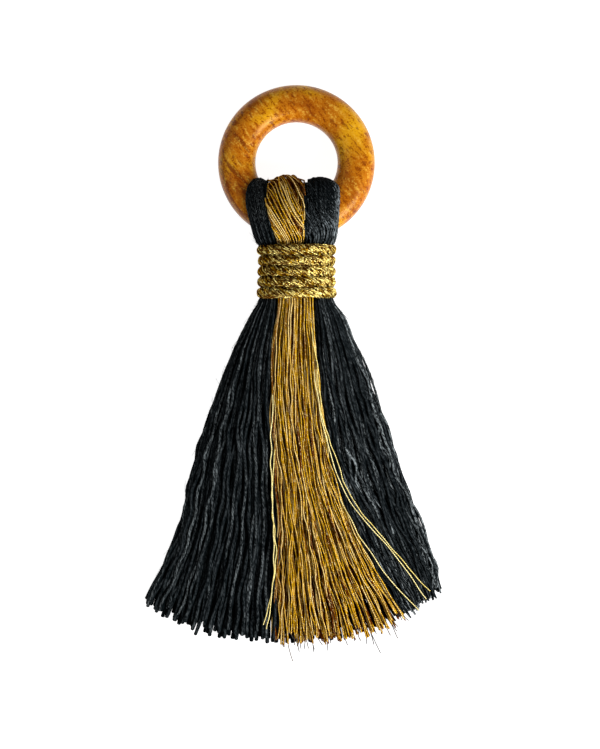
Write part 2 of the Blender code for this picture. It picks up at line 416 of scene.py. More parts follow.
@dataclass(frozen=True)
class FoilThread:
    """Metallic thread: a foil strip wound on a core, glittering in short dashes."""

    name: str
    shade: Colour
    gold: Colour
    glint: Colour
    edge: Colour = (0.55, 0.34, 0.10)
    dash: float = 0.6
    lean: float = 0.4
    darker_dash: float = 0.8
    roughness: float = 0.40
    metallic: float = 0.5
    bump: float = 0.6
    bump_depth: float = 0.08
    bump_pitch: float = 0.7
    # open_side is the span of facing over which painted shade in the gaps gives way to the thread's colour.
    open_side: Span = (-0.1, 0.75)
    tone_drift: float = 0.8
    tone_length: float = 5.0
    golden_tones: Span = (0.0, 0.55)
    pale_tones: Span = (0.65, 1.3)
    # patch is the strength of the paler patches, which are painted glints.
    patch: float = 0.0
    patches: Span = (0.54, 0.63)
    patch_detail: float = 1300.0
    # The facets are painted: glints on some, painted shade on others, more glints towards the lit right.
    facets: float = 0.0
    facet_length: float = 0.5
    facets_round: float = 2.2
    facets_right: float = 16.0
    shaded_facets: Span = (0.50, 0.30)
    bright_facets: Span = (0.76, 0.84)
    # Painted shade over the fold: darker strands turn darker still there, more so higher up towards the
    # crown.
    fold_shade_strength: float = 0.0
    fold_edge: Span = (0.0055, 0.0080)
    fold_middle: float = 0.012
    fold_rise: float = 22.0
    fold_tones: Span = (0.62, 0.22)

    def wound_foil(self, graph: Graph, place: bpy.types.NodeSocket) -> bpy.types.NodeSocket:
        """The colour of the foil: its own tone, dashes, paler patches of painted glint, and shade in the
        gaps.

        Args:
            graph: The material's graph.
            place: The place of each point.

        Returns:
            The colour.
        """
        foil = graph.group("foil glint", {"Length": self.dash, "Lean": self.lean})
        tone = graph.group("strand tone", {"Drift": self.tone_drift, "Length": self.tone_length})["Tone"]
        # Paler patches of painted glint.
        patches = graph.between(graph.noise(place, self.patch_detail, 2.0), self.patches, self.patch)
        golden = graph.mix(graph.between(tone, self.golden_tones), self.shade, self.gold)
        body = graph.mix(graph.between(tone, self.pale_tones), golden, self.glint)
        # Painted shade in the dark dashes; painted glints in the patches and in the bright dashes.
        darker = graph.mix(graph.math("MULTIPLY", foil["Dark"], self.darker_dash), body, self.shade)
        lighter = graph.mix(patches, darker, self.glint)
        bright = graph.mix(foil["Glint"], lighter, self.glint)
        # Painted shade where a thread's side faces into the gaps between threads.
        low, high = self.open_side
        open_side = graph.group("outward light", {"Low": low, "High": high})["Open"]
        return graph.mix(open_side, self.shade, bright)

    def with_facets(self, graph: Graph, across: object, own: object, under: object) -> bpy.types.NodeSocket:
        """Paint flat facets on the foil: painted shade on some and painted glints on others, with more glints
        and less shade towards the right, where the light comes from.

        Args:
            graph: The material's graph.
            across: How far right each point is.
            own: The strand's tone.
            under: The colour under the facets.

        Returns:
            The colour.
        """
        around, along = strand_place(graph)
        laid = graph.vector(
            graph.math("MULTIPLY", around, self.facets_round),
            graph.math("DIVIDE", along, self.facet_length),
            graph.math("MULTIPLY", own, FOILS_APART),
        )
        cell = graph.node("ShaderNodeTexVoronoi", {"Vector": laid, "Scale": 1.0}).outputs["Color"]
        lot = graph.node("ShaderNodeSeparateColor", {"Color": cell}).outputs["Red"]
        # Painted light: more glints and less shade towards the right.
        drawn = graph.math("ADD", lot, graph.math("MULTIPLY", across, self.facets_right))
        turned = graph.between(drawn, self.shaded_facets, self.facets)
        flash = graph.between(drawn, self.bright_facets, self.facets)
        return graph.mix(flash, graph.mix(turned, under, self.shade), self.glint)

    def material(self) -> bpy.types.Material:
        """Build the material.

        Returns:
            The material.
        """
        made, graph, shader = new_material(self.name)
        place = graph.place()
        parts = graph.parts(place)
        own = graph.attribute("tone")
        foil = self.with_facets(graph, parts["X"], own, self.wound_foil(graph, place))
        # Painted shade over the fold, stronger higher up.
        risen = graph.math("MULTIPLY", graph.math("SUBTRACT", parts["Y"], self.fold_middle), self.fold_rise)
        painted_fold_shade = graph.between(graph.math("SUBTRACT", own, risen), self.fold_tones)
        fold = graph.between(parts["Y"], self.fold_edge, self.fold_shade_strength)
        twist = graph.group("ply twist", {"Plies": 1.0, "Pitch": self.dash * self.bump_pitch})["Height"]
        graph.feed_all(shader, {
            "Base Color": graph.mix(graph.math("MULTIPLY", painted_fold_shade, fold), foil, self.shade),
            "Metallic": self.metallic,
            "Specular IOR Level": 0.0,
            "Specular Tint": self.edge,
            "Roughness": self.roughness,
            "Normal": graph.bump(twist, self.bump, self.bump_depth),
        })
        return made


@dataclass(frozen=True)
class CoreFilament:
    """The thin dark fibre that a metallic thread is wound on."""

    name: str = "core_filament"
    root: Colour = (0.09, 0.05, 0.02)
    tip: Colour = (0.02, 0.014, 0.012)

    def material(self) -> bpy.types.Material:
        """Build the material.

        Returns:
            The material.
        """
        made, graph, shader = new_material(self.name)
        tone = graph.group("strand tone", {"Drift": 0.6, "Length": 2.0})["Tone"]
        graph.feed_all(shader, {"Base Color": graph.mix(tone, self.root, self.tip), "Roughness": 0.5})
        return made


@dataclass(frozen=True)
class VarnishedWood:
    """Amber hardwood with short dark pores along its grain, under a satin varnish."""

    name: str = "varnished_wood"
    amber: Colour = (0.375, 0.110, 0.0020)
    honey: Colour = (0.565, 0.265, 0.0040)
    umber: Colour = (0.190, 0.034, 0.0004)
    pore: Colour = (0.130, 0.018, 0.0004)
    pale: Colour = (0.700, 0.410, 0.0500)
    varnish: Colour = (1.0, 0.76, 0.34)
    grain_angle: float = math.radians(-50.0)
    short_grain: float = 0.36
    long_grain: float = 0.12
    grain_detail: float = 3200.0
    patch_detail: float = 130.0
    # Painted light: the wood turns paler towards the right, where the light comes from.
    painted_light_right: float = 3.0
    honey_patches: Span = (0.46, 0.68)
    umber_patches: Span = (0.47, 0.34)
    umber_share: float = 0.6
    streak_detail: float = 900.0
    streaky: float = 0.02
    streaky_low_left: float = 5.5
    streaks: Span = (0.48, 0.57)
    streak_share: float = 0.85
    mottle_detail: float = 1300.0
    mottle_share: float = 0.55
    pale_flecks: Span = (0.51, 0.65)
    pale_share: float = 0.50
    dark_flecks: Span = (0.48, 0.38)
    dark_share: float = 0.85
    pore_detail: float = 1500.0
    pores: Span = (0.60, 0.72)
    pore_share: float = 0.6
    pore_depth: float = 0.5
    smoothest: float = 0.10
    rougher: float = 0.4

    def material(self) -> bpy.types.Material:
        """Build the material.

        Returns:
            The material.
        """
        made, graph, shader = new_material(self.name)
        place = graph.place()
        turn = {"Vector": place, "Rotation": (0.0, 0.0, -self.grain_angle)}
        turned = graph.node("ShaderNodeMapping", turn).outputs[0]
        short, long = (
            graph.node("ShaderNodeMapping", {"Vector": turned, "Scale": (drawn, 1.0, 1.0)}).outputs[0]
            for drawn in (self.short_grain, self.long_grain)
        )
        parts = graph.parts(place)
        # Painted light: more honey and less umber towards the right.
        right = graph.math("MULTIPLY", parts["X"], self.painted_light_right)
        low_left = graph.math("MULTIPLY", graph.math("ADD", parts["X"], parts["Y"]), -self.streaky_low_left)
        patch = graph.math("ADD", graph.noise(place, self.patch_detail, 3.0), right)
        streaky = graph.math("ADD", low_left, self.streaky)
        streak = graph.math("ADD", graph.noise(long, self.streak_detail, 4.0), streaky)
        grain = graph.noise(place, self.grain_detail, 3.0)
        mottle = graph.weigh(graph.noise(short, self.mottle_detail, 4.0), grain, self.mottle_share)
        pores = graph.between(graph.noise(short, self.pore_detail, 1.0), self.pores)
        warm = graph.mix(graph.between(patch, self.honey_patches), self.amber, self.honey)
        dim = graph.mix(graph.between(patch, self.umber_patches, self.umber_share), warm, self.umber)
        veined = graph.mix(graph.between(streak, self.streaks, self.streak_share), dim, self.pore)
        dappled = graph.mix(graph.between(mottle, self.pale_flecks, self.pale_share), veined, self.pale)
        deeper = graph.mix(graph.between(mottle, self.dark_flecks, self.dark_share), dappled, self.umber)
        height = graph.math("SUBTRACT", mottle, graph.math("MULTIPLY", pores, self.pore_depth))
        rough = graph.math("MULTIPLY", mottle, self.rougher)
        graph.feed_all(shader, {
            "Base Color": graph.mix(graph.math("MULTIPLY", pores, self.pore_share), deeper, self.pore),
            "Roughness": graph.math("ADD", rough, self.smoothest),
            "Specular IOR Level": 0.26,
            "Specular Tint": self.varnish,
            "Normal": graph.bump(height, 0.4, 0.15),
        })
        return made


@dataclass(frozen=True)
class StudioWhite:
    """The pale floor, bright enough that it stays white under soft light."""

    name: str = "studio_white"
    colour: Colour = (0.30, 0.30, 0.30)
    glow: float = 0.93

    def material(self) -> bpy.types.Material:
        """Build the material.

        Returns:
            The material.
        """
        made, graph, shader = new_material(self.name)
        graph.feed_all(shader, {
            "Base Color": self.colour,
            "Roughness": 0.9,
            "Emission Color": (1.0, 1.0, 1.0),
            "Emission Strength": self.glow,
        })
        return made


# ---------------------------------------------------------------- strands


@dataclass
class StrandSet:
    """The routes of many strands, gathered before they are given their thickness."""

    routes: list[np.ndarray] = field(default_factory=list)
    radii: list[np.ndarray] = field(default_factory=list)
    outward: list[np.ndarray] = field(default_factory=list)
    tones: list[float] = field(default_factory=list)

    def add(self, route: np.ndarray, radius: np.ndarray, outward: np.ndarray, tone: float) -> None:
        """Add one strand.

        Args:
            route: Its points, in millimetres.
            radius: Its radius at each point, in millimetres.
            outward: The way out of the hank or cord at each point.
            tone: How light it is, from 0 to 1.
        """
        self.routes.append(route)
        self.radii.append(np.broadcast_to(radius, len(route)))
        self.outward.append(np.broadcast_to(outward, route.shape))
        self.tones.append(tone)

    def route_mesh(self, name: str) -> bpy.types.Mesh:
        """One mesh of edges that follow the routes, with each point's own facts as attributes.

        Args:
            name: The mesh's name.

        Returns:
            The mesh, in metres.
        """
        counts = np.array([len(route) for route in self.routes])
        points = np.concatenate(self.routes)
        steps = [np.linalg.norm(np.diff(route, axis=0), axis=1) for route in self.routes]
        along = np.concatenate([np.concatenate(([0.0], np.cumsum(step))) for step in steps])
        first = np.concatenate(([0], np.cumsum(counts)[:-1]))
        starts = np.delete(np.arange(len(points)), first + counts - 1)
        mesh = bpy.data.meshes.new(name)
        mesh.from_pydata(points * MM, np.stack([starts, starts + 1], 1), [])
        facts = {
            "thickness": np.concatenate(self.radii) * MM,
            "tone": np.repeat(self.tones, counts),
            "along": along,
            "number": np.repeat(np.arange(len(counts)), counts),
            "total": np.repeat([step.sum() for step in steps], counts),
        }
        for label, values in facts.items():
            layer = mesh.attributes.new(label, "FLOAT", "POINT")
            layer.data.foreach_set("value", values.astype(np.float32))
        outward = mesh.attributes.new("outward", "FLOAT_VECTOR", "POINT")
        outward.data.foreach_set("vector", np.concatenate(self.outward).astype(np.float32).ravel())
        return mesh


def thickening_tree() -> bpy.types.NodeTree:
    """The Geometry Nodes tree that gives every route a round section.

    Returns:
        The tree, with inputs named Routes, Sides and Finish.
    """
    name = "thicken strands"
    if name in bpy.data.node_groups:
        return bpy.data.node_groups[name]
    tree = bpy.data.node_groups.new(name, "GeometryNodeTree")
    kinds = {"Routes": "NodeSocketGeometry", "Sides": "NodeSocketInt", "Finish": "NodeSocketMaterial"}
    for label, kind in kinds.items():
        tree.interface.new_socket(label, in_out="INPUT", socket_type=kind)
    tree.interface.new_socket("Strands", in_out="OUTPUT", socket_type="NodeSocketGeometry")
    graph = Graph(tree)
    given = graph.node("NodeGroupInput").outputs
    lines = graph.node("GeometryNodeMeshToCurve", {"Mesh": given["Routes"]})
    circle = graph.node("GeometryNodeCurvePrimitiveCircle", {"Resolution": given["Sides"], "Radius": 1.0})
    numbered = graph.node("GeometryNodeStoreNamedAttribute", {
        "Geometry": circle.outputs["Curve"],
        "Name": "around",
        "Value": graph.node("GeometryNodeInputIndex").outputs[0],
    })
    radius = graph.node("GeometryNodeInputNamedAttribute", {"Name": "thickness"})
    tubes = graph.node("GeometryNodeCurveToMesh", {
        "Curve": lines.outputs["Curve"],
        "Profile Curve": numbered.outputs["Geometry"],
        "Scale": radius.outputs["Attribute"],
        "Fill Caps": True,
    })
    smooth = graph.node("GeometryNodeSetShadeSmooth", {"Geometry": tubes.outputs["Mesh"]})
    real = graph.node("GeometryNodeRealizeInstances", {"Geometry": smooth.outputs["Geometry"]})
    dressed = graph.node("GeometryNodeSetMaterial", {
        "Geometry": real.outputs["Geometry"],
        "Material": given["Finish"],
    })
    result = graph.node("NodeGroupOutput")
    graph.feed(result.inputs["Strands"], dressed.outputs["Geometry"])
    return tree


def point_values(mesh: bpy.types.Mesh, name: str) -> np.ndarray:
    """The numbers of a mesh's point attribute.

    Args:
        mesh: The mesh.
        name: The attribute's name.

    Returns:
        One number for each point.
    """
    values = np.empty(len(mesh.vertices), np.float32)
    mesh.attributes[name].data.foreach_get("value", values)
    return values


def mark_facing(mesh: bpy.types.Mesh) -> None:
    """Store how far each point of the strands faces out of the hank, from -1 to 1.

    A strand whose way out is zero counts as facing out all round.

    Args:
        mesh: The strands' mesh.
    """
    normals = np.empty(len(mesh.vertices) * 3, np.float32)
    mesh.vertex_normals.foreach_get("vector", normals)
    outward = np.empty(len(mesh.vertices) * 3, np.float32)
    mesh.attributes["outward"].data.foreach_get("vector", outward)
    outward = outward.reshape(-1, 3)
    length = np.linalg.norm(outward, axis=1)
    facing = (normals.reshape(-1, 3) * outward).sum(axis=1) / np.maximum(length, 1e-6)
    facing[length < 1e-6] = 1.0
    mesh.attributes.remove(mesh.attributes["outward"])
    mesh.attributes.new("facing", "FLOAT", "POINT").data.foreach_set("value", facing.astype(np.float32))


def lay_out_maps(mesh: bpy.types.Mesh, sides: int) -> None:
    """Give strands a map in turns and millimetres, and a map of one strip for each strand.

    Args:
        mesh: The strands' mesh.
        sides: The sides of each strand.
    """
    corner = np.empty(len(mesh.loops), np.int32)
    mesh.loops.foreach_get("vertex_index", corner)
    starts = np.empty(len(mesh.polygons), np.int32)
    mesh.polygons.foreach_get("loop_start", starts)
    around = point_values(mesh, "around")[corner]
    # On the faces that close a tube, corner 0 is a full turn on from the last one.
    highest = np.maximum.reduceat(around, starts)
    lowest = np.minimum.reduceat(around, starts)
    face = np.repeat(np.arange(len(starts)), np.diff(np.append(starts, len(corner))))
    closing = (highest[face] == sides - 1) & (lowest[face] == 0) & (around == 0)
    around = (around + sides * closing) / sides
    along, total, number = (point_values(mesh, name)[corner] for name in ("along", "total", "number"))
    strips = number.max() + 1
    beside, beyond = 0.08, 0.002
    across = (number + beside + (1.0 - 2.0 * beside) * around) / strips
    maps = {
        STRAND_MAP: np.stack([around, along], 1),
        BAKE_MAP: np.stack([across, beyond + (1.0 - 2.0 * beyond) * along / total], 1),
    }
    for name, places in maps.items():
        layer = mesh.uv_layers.new(name=name, do_init=False)
        layer.uv.foreach_set("vector", places.astype(np.float32).ravel())
    mesh.uv_layers.active = mesh.uv_layers[STRAND_MAP]
    for name in ("around", "along", "total", "number", "thickness"):
        mesh.attributes.remove(mesh.attributes[name])


def thicken(strands: StrandSet, name: str, sides: int, material: bpy.types.Material) -> bpy.types.Object:
    """Turn routes into one piece of strands.

    Args:
        strands: The routes.
        name: The piece's name.
        sides: How many sides each strand has.
        material: The piece's finish.

    Returns:
        The piece, a plain mesh.
    """
    guide = new_piece(name + "_routes", strands.route_mesh(name))
    tree = thickening_tree()
    modifier = guide.modifiers.new("thicken", "NODES")
    modifier.node_group = tree
    chosen = {"Sides": sides, "Finish": material}
    for item in tree.interface.items_tree:
        if item.in_out == "INPUT" and item.name in chosen:
            modifier[item.identifier] = chosen[item.name]
    evaluated = guide.evaluated_get(bpy.context.evaluated_depsgraph_get())
    mesh = bpy.data.meshes.new_from_object(evaluated)
    guide.modifiers.remove(modifier)
    bpy.data.objects.remove(guide)
    mark_facing(mesh)
    lay_out_maps(mesh, sides)
    return new_piece(name, mesh)


def new_piece(name: str, mesh: bpy.types.Mesh) -> bpy.types.Object:
    """Put a mesh in the scene as an object at the origin.

    Args:
        name: The object's name.
        mesh: Its mesh.

    Returns:
        The object.
    """
    piece = bpy.data.objects.new(name, mesh)
    bpy.context.scene.collection.objects.link(piece)
    return piece


def ramp(value: np.ndarray, span: Span) -> np.ndarray:
    """How far a value has gone from a span's first end to its second, from 0 to 1."""
    return np.clip((value - span[0]) / (span[1] - span[0]), 0.0, 1.0)


def smooth_route(points: np.ndarray, spacing: float) -> np.ndarray:
    """Resample a rough route evenly on a smooth curve through its points.

    Args:
        points: The route's own points; any columns past the third ride along.
        spacing: The distance between the new ones.

    Returns:
        The new points.
    """
    steps = np.sqrt(np.linalg.norm(np.diff(points[:, :3], axis=0), axis=1))
    knots = np.concatenate(([0.0], np.cumsum(steps)))
    slopes = np.gradient(points, knots, axis=0)
    fine = np.linspace(0.0, knots[-1], 12 * len(points))
    index = np.clip(np.searchsorted(knots, fine, side="right") - 1, 0, len(knots) - 2)
    width = (knots[index + 1] - knots[index])[:, None]
    t = (fine - knots[index])[:, None] / width
    curve = (
        (2 * t**3 - 3 * t**2 + 1) * points[index]
        + (t**3 - 2 * t**2 + t) * width * slopes[index]
        + (3 * t**2 - 2 * t**3) * points[index + 1]
        + (t**3 - t**2) * width * slopes[index + 1]
    )
    along = np.concatenate(([0.0], np.cumsum(np.linalg.norm(np.diff(curve[:, :3], axis=0), axis=1))))
    count = max(3, int(round(along[-1] / spacing)) + 1)
    even = np.linspace(0.0, along[-1], count)
    return np.stack([np.interp(even, along, column) for column in curve.T], 1)


# ---------------------------------------------------------------- the frame's forms


def surface_of(node: bpy.types.Object) -> tuple[np.ndarray, np.ndarray]:
    """A CAD node's surface.

    Args:
        node: The node's object.

    Returns:
        Its points in millimetres, and its triangles' point numbers.
    """
    mesh = node.data
    points = np.empty(len(mesh.vertices) * 3, np.float32)
    mesh.vertices.foreach_get("co", points)
    mesh.calc_loop_triangles()
    triangles = np.empty(len(mesh.loop_triangles) * 3, np.int32)
    mesh.loop_triangles.foreach_get("vertices", triangles)
    return points.reshape(-1, 3).astype(float) / MM, triangles.reshape(-1, 3)


def slice_levels(corners: np.ndarray, value: float, scan: np.ndarray) -> tuple[np.ndarray, np.ndarray]:
    """The lowest and highest level of a closed surface where a plane cuts it.

    Args:
        corners: The triangles' corners, each an x, a coordinate to cut at and a level.
        value: Where the plane cuts that coordinate.
        scan: The values of x to read.

    Returns:
        The lowest and the highest level at each x, or nan beside the surface.
    """
    side = corners[:, :, 1] - value
    crossing = (side.min(axis=1) < 0) & (side.max(axis=1) >= 0)
    here, side = corners[crossing], side[crossing]
    beyond, other = np.roll(here, -1, axis=1), np.roll(side, -1, axis=1)
    cut = (side < 0) != (other < 0)
    ends = here[cut] + (beyond[cut] - here[cut]) * (side[cut] / (side[cut] - other[cut]))[:, None]
    ends = ends.reshape(-1, 2, 3)
    start, run = ends[:, 0], ends[:, 1] - ends[:, 0] + 1e-12
    share = (scan[None, :] - start[:, :1]) / run[:, :1]
    level = start[:, 2:] + share * run[:, 2:]
    inside = (share >= 0.0) & (share <= 1.0)
    low = np.where(inside, level, np.inf).min(axis=0, initial=np.inf)
    high = np.where(inside, level, -np.inf).max(axis=0, initial=-np.inf)
    missed = ~inside.any(axis=0)
    return np.where(missed, np.nan, low), np.where(missed, np.nan, high)


def read_between(table: np.ndarray, row: np.ndarray, column: np.ndarray) -> np.ndarray:
    """Read a table of evenly spaced values between its entries.

    Args:
        table: Rows of values; the columns run from 0 to 1.
        row: Row numbers, with fractions.
        column: Places from 0 to 1.

    Returns:
        The values.
    """
    row = np.clip(row, 0, len(table) - 1.001)
    column = np.clip(column, 0.0, 1.0) * (table.shape[1] - 1.001)
    i, j = row.astype(int), column.astype(int)
    a, b = row - i, column - j
    near = table[i, j] * (1 - b) + table[i, j + 1] * b
    return near * (1 - a) + (table[i + 1, j] * (1 - b) + table[i + 1, j + 1] * b) * a


class Leg(Enum):
    """The two lengths of a folded strand, one in front of the ring and one behind it."""

    FRONT = 1.0
    BACK = -1.0


@dataclass
class Spot:
    """Where in a hank's section a strand lies.

    Attributes:
        share: The share of the width, from 0 at the left to 1 at the right.
        depth: The share of the depth, from 0 inside to 1 at the face.
    """

    share: np.ndarray
    depth: np.ndarray

    def lean(self) -> np.ndarray:
        """How far the way out leans sideways: only near the hank's sides."""
        sharpness = 7
        return (2.0 * self.share - 1.0) ** sharpness


class HankForm:
    """Where a hank's yarn runs, read from slices of its solid.

    Below the ring a place is a station down the hank, a share of its width and a share of
    its depth. Round the ring it is an angle, a share of the width and a share of the depth.
    """

    TOP = 6.4
    LAST_WHOLE = -64.0
    LOWEST = -78.0
    STEP = 1.0
    ACROSS = 33
    BOW = 0.0064
    BOW_GROWS = (-8.0, -65.0)
    BOUND_STATIONS = (-6.5, -4.9, -3.6, 3.6, 4.9, 6.3)
    BOUND_READ = (-6.5, -6.4, -3.6, 3.6, 6.2, 6.3)
    TIP_STEP = 0.25
    SCAN = 0.1
    REACH = 32.0
    LOOP_START = 60.0
    LOOP_END = 300.0
    LOOP_STEP = 6.0
    THINNEST = 0.25
    SHALLOWEST = 0.05
    JUST_PAST = 1e-6

    def __init__(self, node: bpy.types.Object, ring: WoodenRing) -> None:
        """Args:
            node: The hank's solid in the frame.
            ring: The ring that it is folded over.
        """
        self.ring = ring
        points, triangles = surface_of(node)
        self.read_skirt(points, triangles)
        self.read_loop(points, triangles)

    def bow(self, station: np.ndarray) -> np.ndarray:
        """How much a station curves up at its sides: not at all by the neck, and most at the tips."""
        return self.BOW * ramp(station, self.BOW_GROWS)

    def station_at(self, x: np.ndarray, y: np.ndarray) -> np.ndarray:
        """The station that passes through a place.

        Args:
            x: How far right the place is.
            y: How far up it is.

        Returns:
            The station.
        """
        station = y
        for _ in range(6):
            station = y - self.bow(station) * x * x
        return station

    def read_skirt(self, points: np.ndarray, triangles: np.ndarray) -> None:
        """Find the hank's sides, its depth and its tips, station by station.

        Args:
            points: The solid's points.
            triangles: Its triangles' point numbers.
        """
        station = self.station_at(points[:, 0], points[:, 1])
        corners = np.stack([points[:, 0], station, points[:, 2]], 1)[triangles]
        scan = np.arange(-self.REACH, self.REACH, self.SCAN)
        share = np.linspace(0.0, 1.0, self.ACROSS)
        sides, low, high = [], [], []
        for value in np.arange(self.TOP, self.LAST_WHOLE - 0.5, -self.STEP):
            levels = slice_levels(corners, value + self.JUST_PAST, scan)
            kept = ~np.isnan(levels[0])
            left, right = scan[kept][0] - self.SCAN / 2, scan[kept][-1] + self.SCAN / 2
            across = left + share * (right - left)
            sides.append(np.array((left, right)))
            low.append(np.interp(across, scan[kept], levels[0][kept]))
            high.append(np.interp(across, scan[kept], levels[1][kept]))
        slope = (sides[-1] - sides[-11]) / 10.0
        for _ in range(int((self.LAST_WHOLE - self.LOWEST) / self.STEP)):
            sides.append(sides[-1] + slope)
            low.append(low[-1])
            high.append(high[-1])
        self.sides, self.low, self.high = np.array(sides), np.array(low), np.array(high)
        self.tips = np.full(self.ACROSS, self.LAST_WHOLE)
        for value in np.arange(self.LAST_WHOLE, self.LOWEST, -self.TIP_STEP):
            across = self.across(np.full(self.ACROSS, value), share, 0.3)
            reached = ~np.isnan(slice_levels(corners, value + self.JUST_PAST, across)[0])
            self.tips[reached] = value

    def read_loop(self, points: np.ndarray, triangles: np.ndarray) -> None:
        """Find the hank's sides, inner wall and outer surface at each angle round the ring.

        Args:
            points: The solid's points.
            triangles: Its triangles' point numbers.
        """
        away = points - self.ring.band_centre(points[:, 0])
        angle = np.degrees(np.arctan2(away[:, 2], -away[:, 1])) % 360.0
        corners = np.stack([points[:, 0], angle, np.hypot(away[:, 1], away[:, 2])], 1)[triangles]
        corners = corners[np.ptp(corners[:, :, 1], axis=1) < 90.0]
        scan = np.arange(-self.ring.hole_radius - 4.0, self.ring.hole_radius + 4.0, self.SCAN)
        share = np.linspace(0.0, 1.0, self.ACROSS)
        self.angles = np.arange(self.LOOP_START, self.LOOP_END + 1.0, self.LOOP_STEP)
        sides, inner, outer = [], [], []
        for value in self.angles:
            levels = slice_levels(corners, value + self.JUST_PAST, scan)
            kept = np.nan_to_num(levels[1] - levels[0]) > self.THINNEST
            left, right = scan[kept][0] - self.SCAN / 2, scan[kept][-1] + self.SCAN / 2
            across = left + share * (right - left)
            sides.append((left, right))
            inner.append(np.interp(across, scan[kept], levels[0][kept]))
            outer.append(np.interp(across, scan[kept], levels[1][kept]))
        self.loop_sides, self.inner, self.outer = np.array(sides), np.array(inner), np.array(outer)

    def row_of(self, station: np.ndarray) -> np.ndarray:
        """The row of the tables that a station reads.

        Just under the binding's edges it is one from outside them, so that the yarn comes
        out at its full width.
        """
        read = np.interp(station, self.BOUND_STATIONS, self.BOUND_READ)
        return (self.TOP - np.where(np.abs(station) < self.BOUND_READ[-1], read, station)) / self.STEP

    def across(self, station: np.ndarray, share: np.ndarray, radius: np.ndarray | float = 0.0) -> np.ndarray:
        """The x at a share of the width of a station, for a strand of a radius.

        Args:
            station: The stations.
            share: The shares of the width.
            radius: The strand's radius.

        Returns:
            One x for each.
        """
        row = self.row_of(station)
        numbers = np.arange(len(self.sides))
        left, right = (np.interp(row, numbers, self.sides[:, end]) for end in (0, 1))
        return left + radius + share * (right - left - 2 * radius)

    def skirt_places(self, station: np.ndarray, spot: Spot, radius: np.ndarray, leg: Leg) -> np.ndarray:
        """Places below the ring, and the way out of the hank at each.

        Args:
            station: The stations.
            spot: Where in the section the strand lies.
            radius: The strand's radius.
            leg: The leg that the places belong to.

        Returns:
            The places, then the outward directions, one row for each.
        """
        row = self.row_of(station)
        low, high = read_between(self.low, row, spot.share), read_between(self.high, row, spot.share)
        x = self.across(station, spot.share, radius)
        half = np.maximum((high - low) / 2 - radius, self.SHALLOWEST)
        z = (low + high) / 2 + leg.value * spot.depth * half
        y = station + self.bow(station) * x * x
        return np.stack([x, y, z, spot.lean(), np.zeros_like(x), np.full_like(x, leg.value)], 1)

    def loop_places(self, angle: np.ndarray, spot: Spot, radius: np.ndarray) -> np.ndarray:
        """Places round the ring, and the way out of the hank at each.

        Args:
            angle: The angles in degrees, from the neck over the front to the back.
            spot: Where in the section the strand lies.
            radius: The strand's radius.

        Returns:
            The places, then the outward directions, one row for each.
        """
        row = (angle - self.LOOP_START) / self.LOOP_STEP
        numbers = np.arange(len(self.loop_sides))
        left, right = (np.interp(row, numbers, self.loop_sides[:, end]) for end in (0, 1))
        x = left + radius + spot.share * (right - left - 2 * radius)
        inner, outer = (read_between(wall, row, spot.share) for wall in (self.inner, self.outer))
        reach = inner + radius + spot.depth * np.maximum(outer - inner - 2 * radius, self.SHALLOWEST)
        turn = np.radians(angle)
        out = np.stack([np.zeros_like(turn), -np.cos(turn), np.sin(turn)], 1)
        places = self.ring.band_centre(x) + out * reach[:, None]
        out[:, 0] = spot.lean()
        return np.hstack([places, out])

    def skirt_area(self, station: np.ndarray) -> np.ndarray:
        """The area of the hank's section at a station.

        Args:
            station: The stations.

        Returns:
            The areas, in square millimetres.
        """
        row = self.row_of(station)
        areas = (self.sides[:, 1] - self.sides[:, 0]) * (self.high - self.low).mean(axis=1)
        return np.interp(row, np.arange(len(areas)), areas)

    def loop_area(self, angle: np.ndarray) -> np.ndarray:
        """The area of the hank's section at an angle round the ring."""
        areas = (self.loop_sides[:, 1] - self.loop_sides[:, 0]) * (self.outer - self.inner).mean(axis=1)
        return np.interp(angle, self.angles, areas)


# ---------------------------------------------------------------- the ring


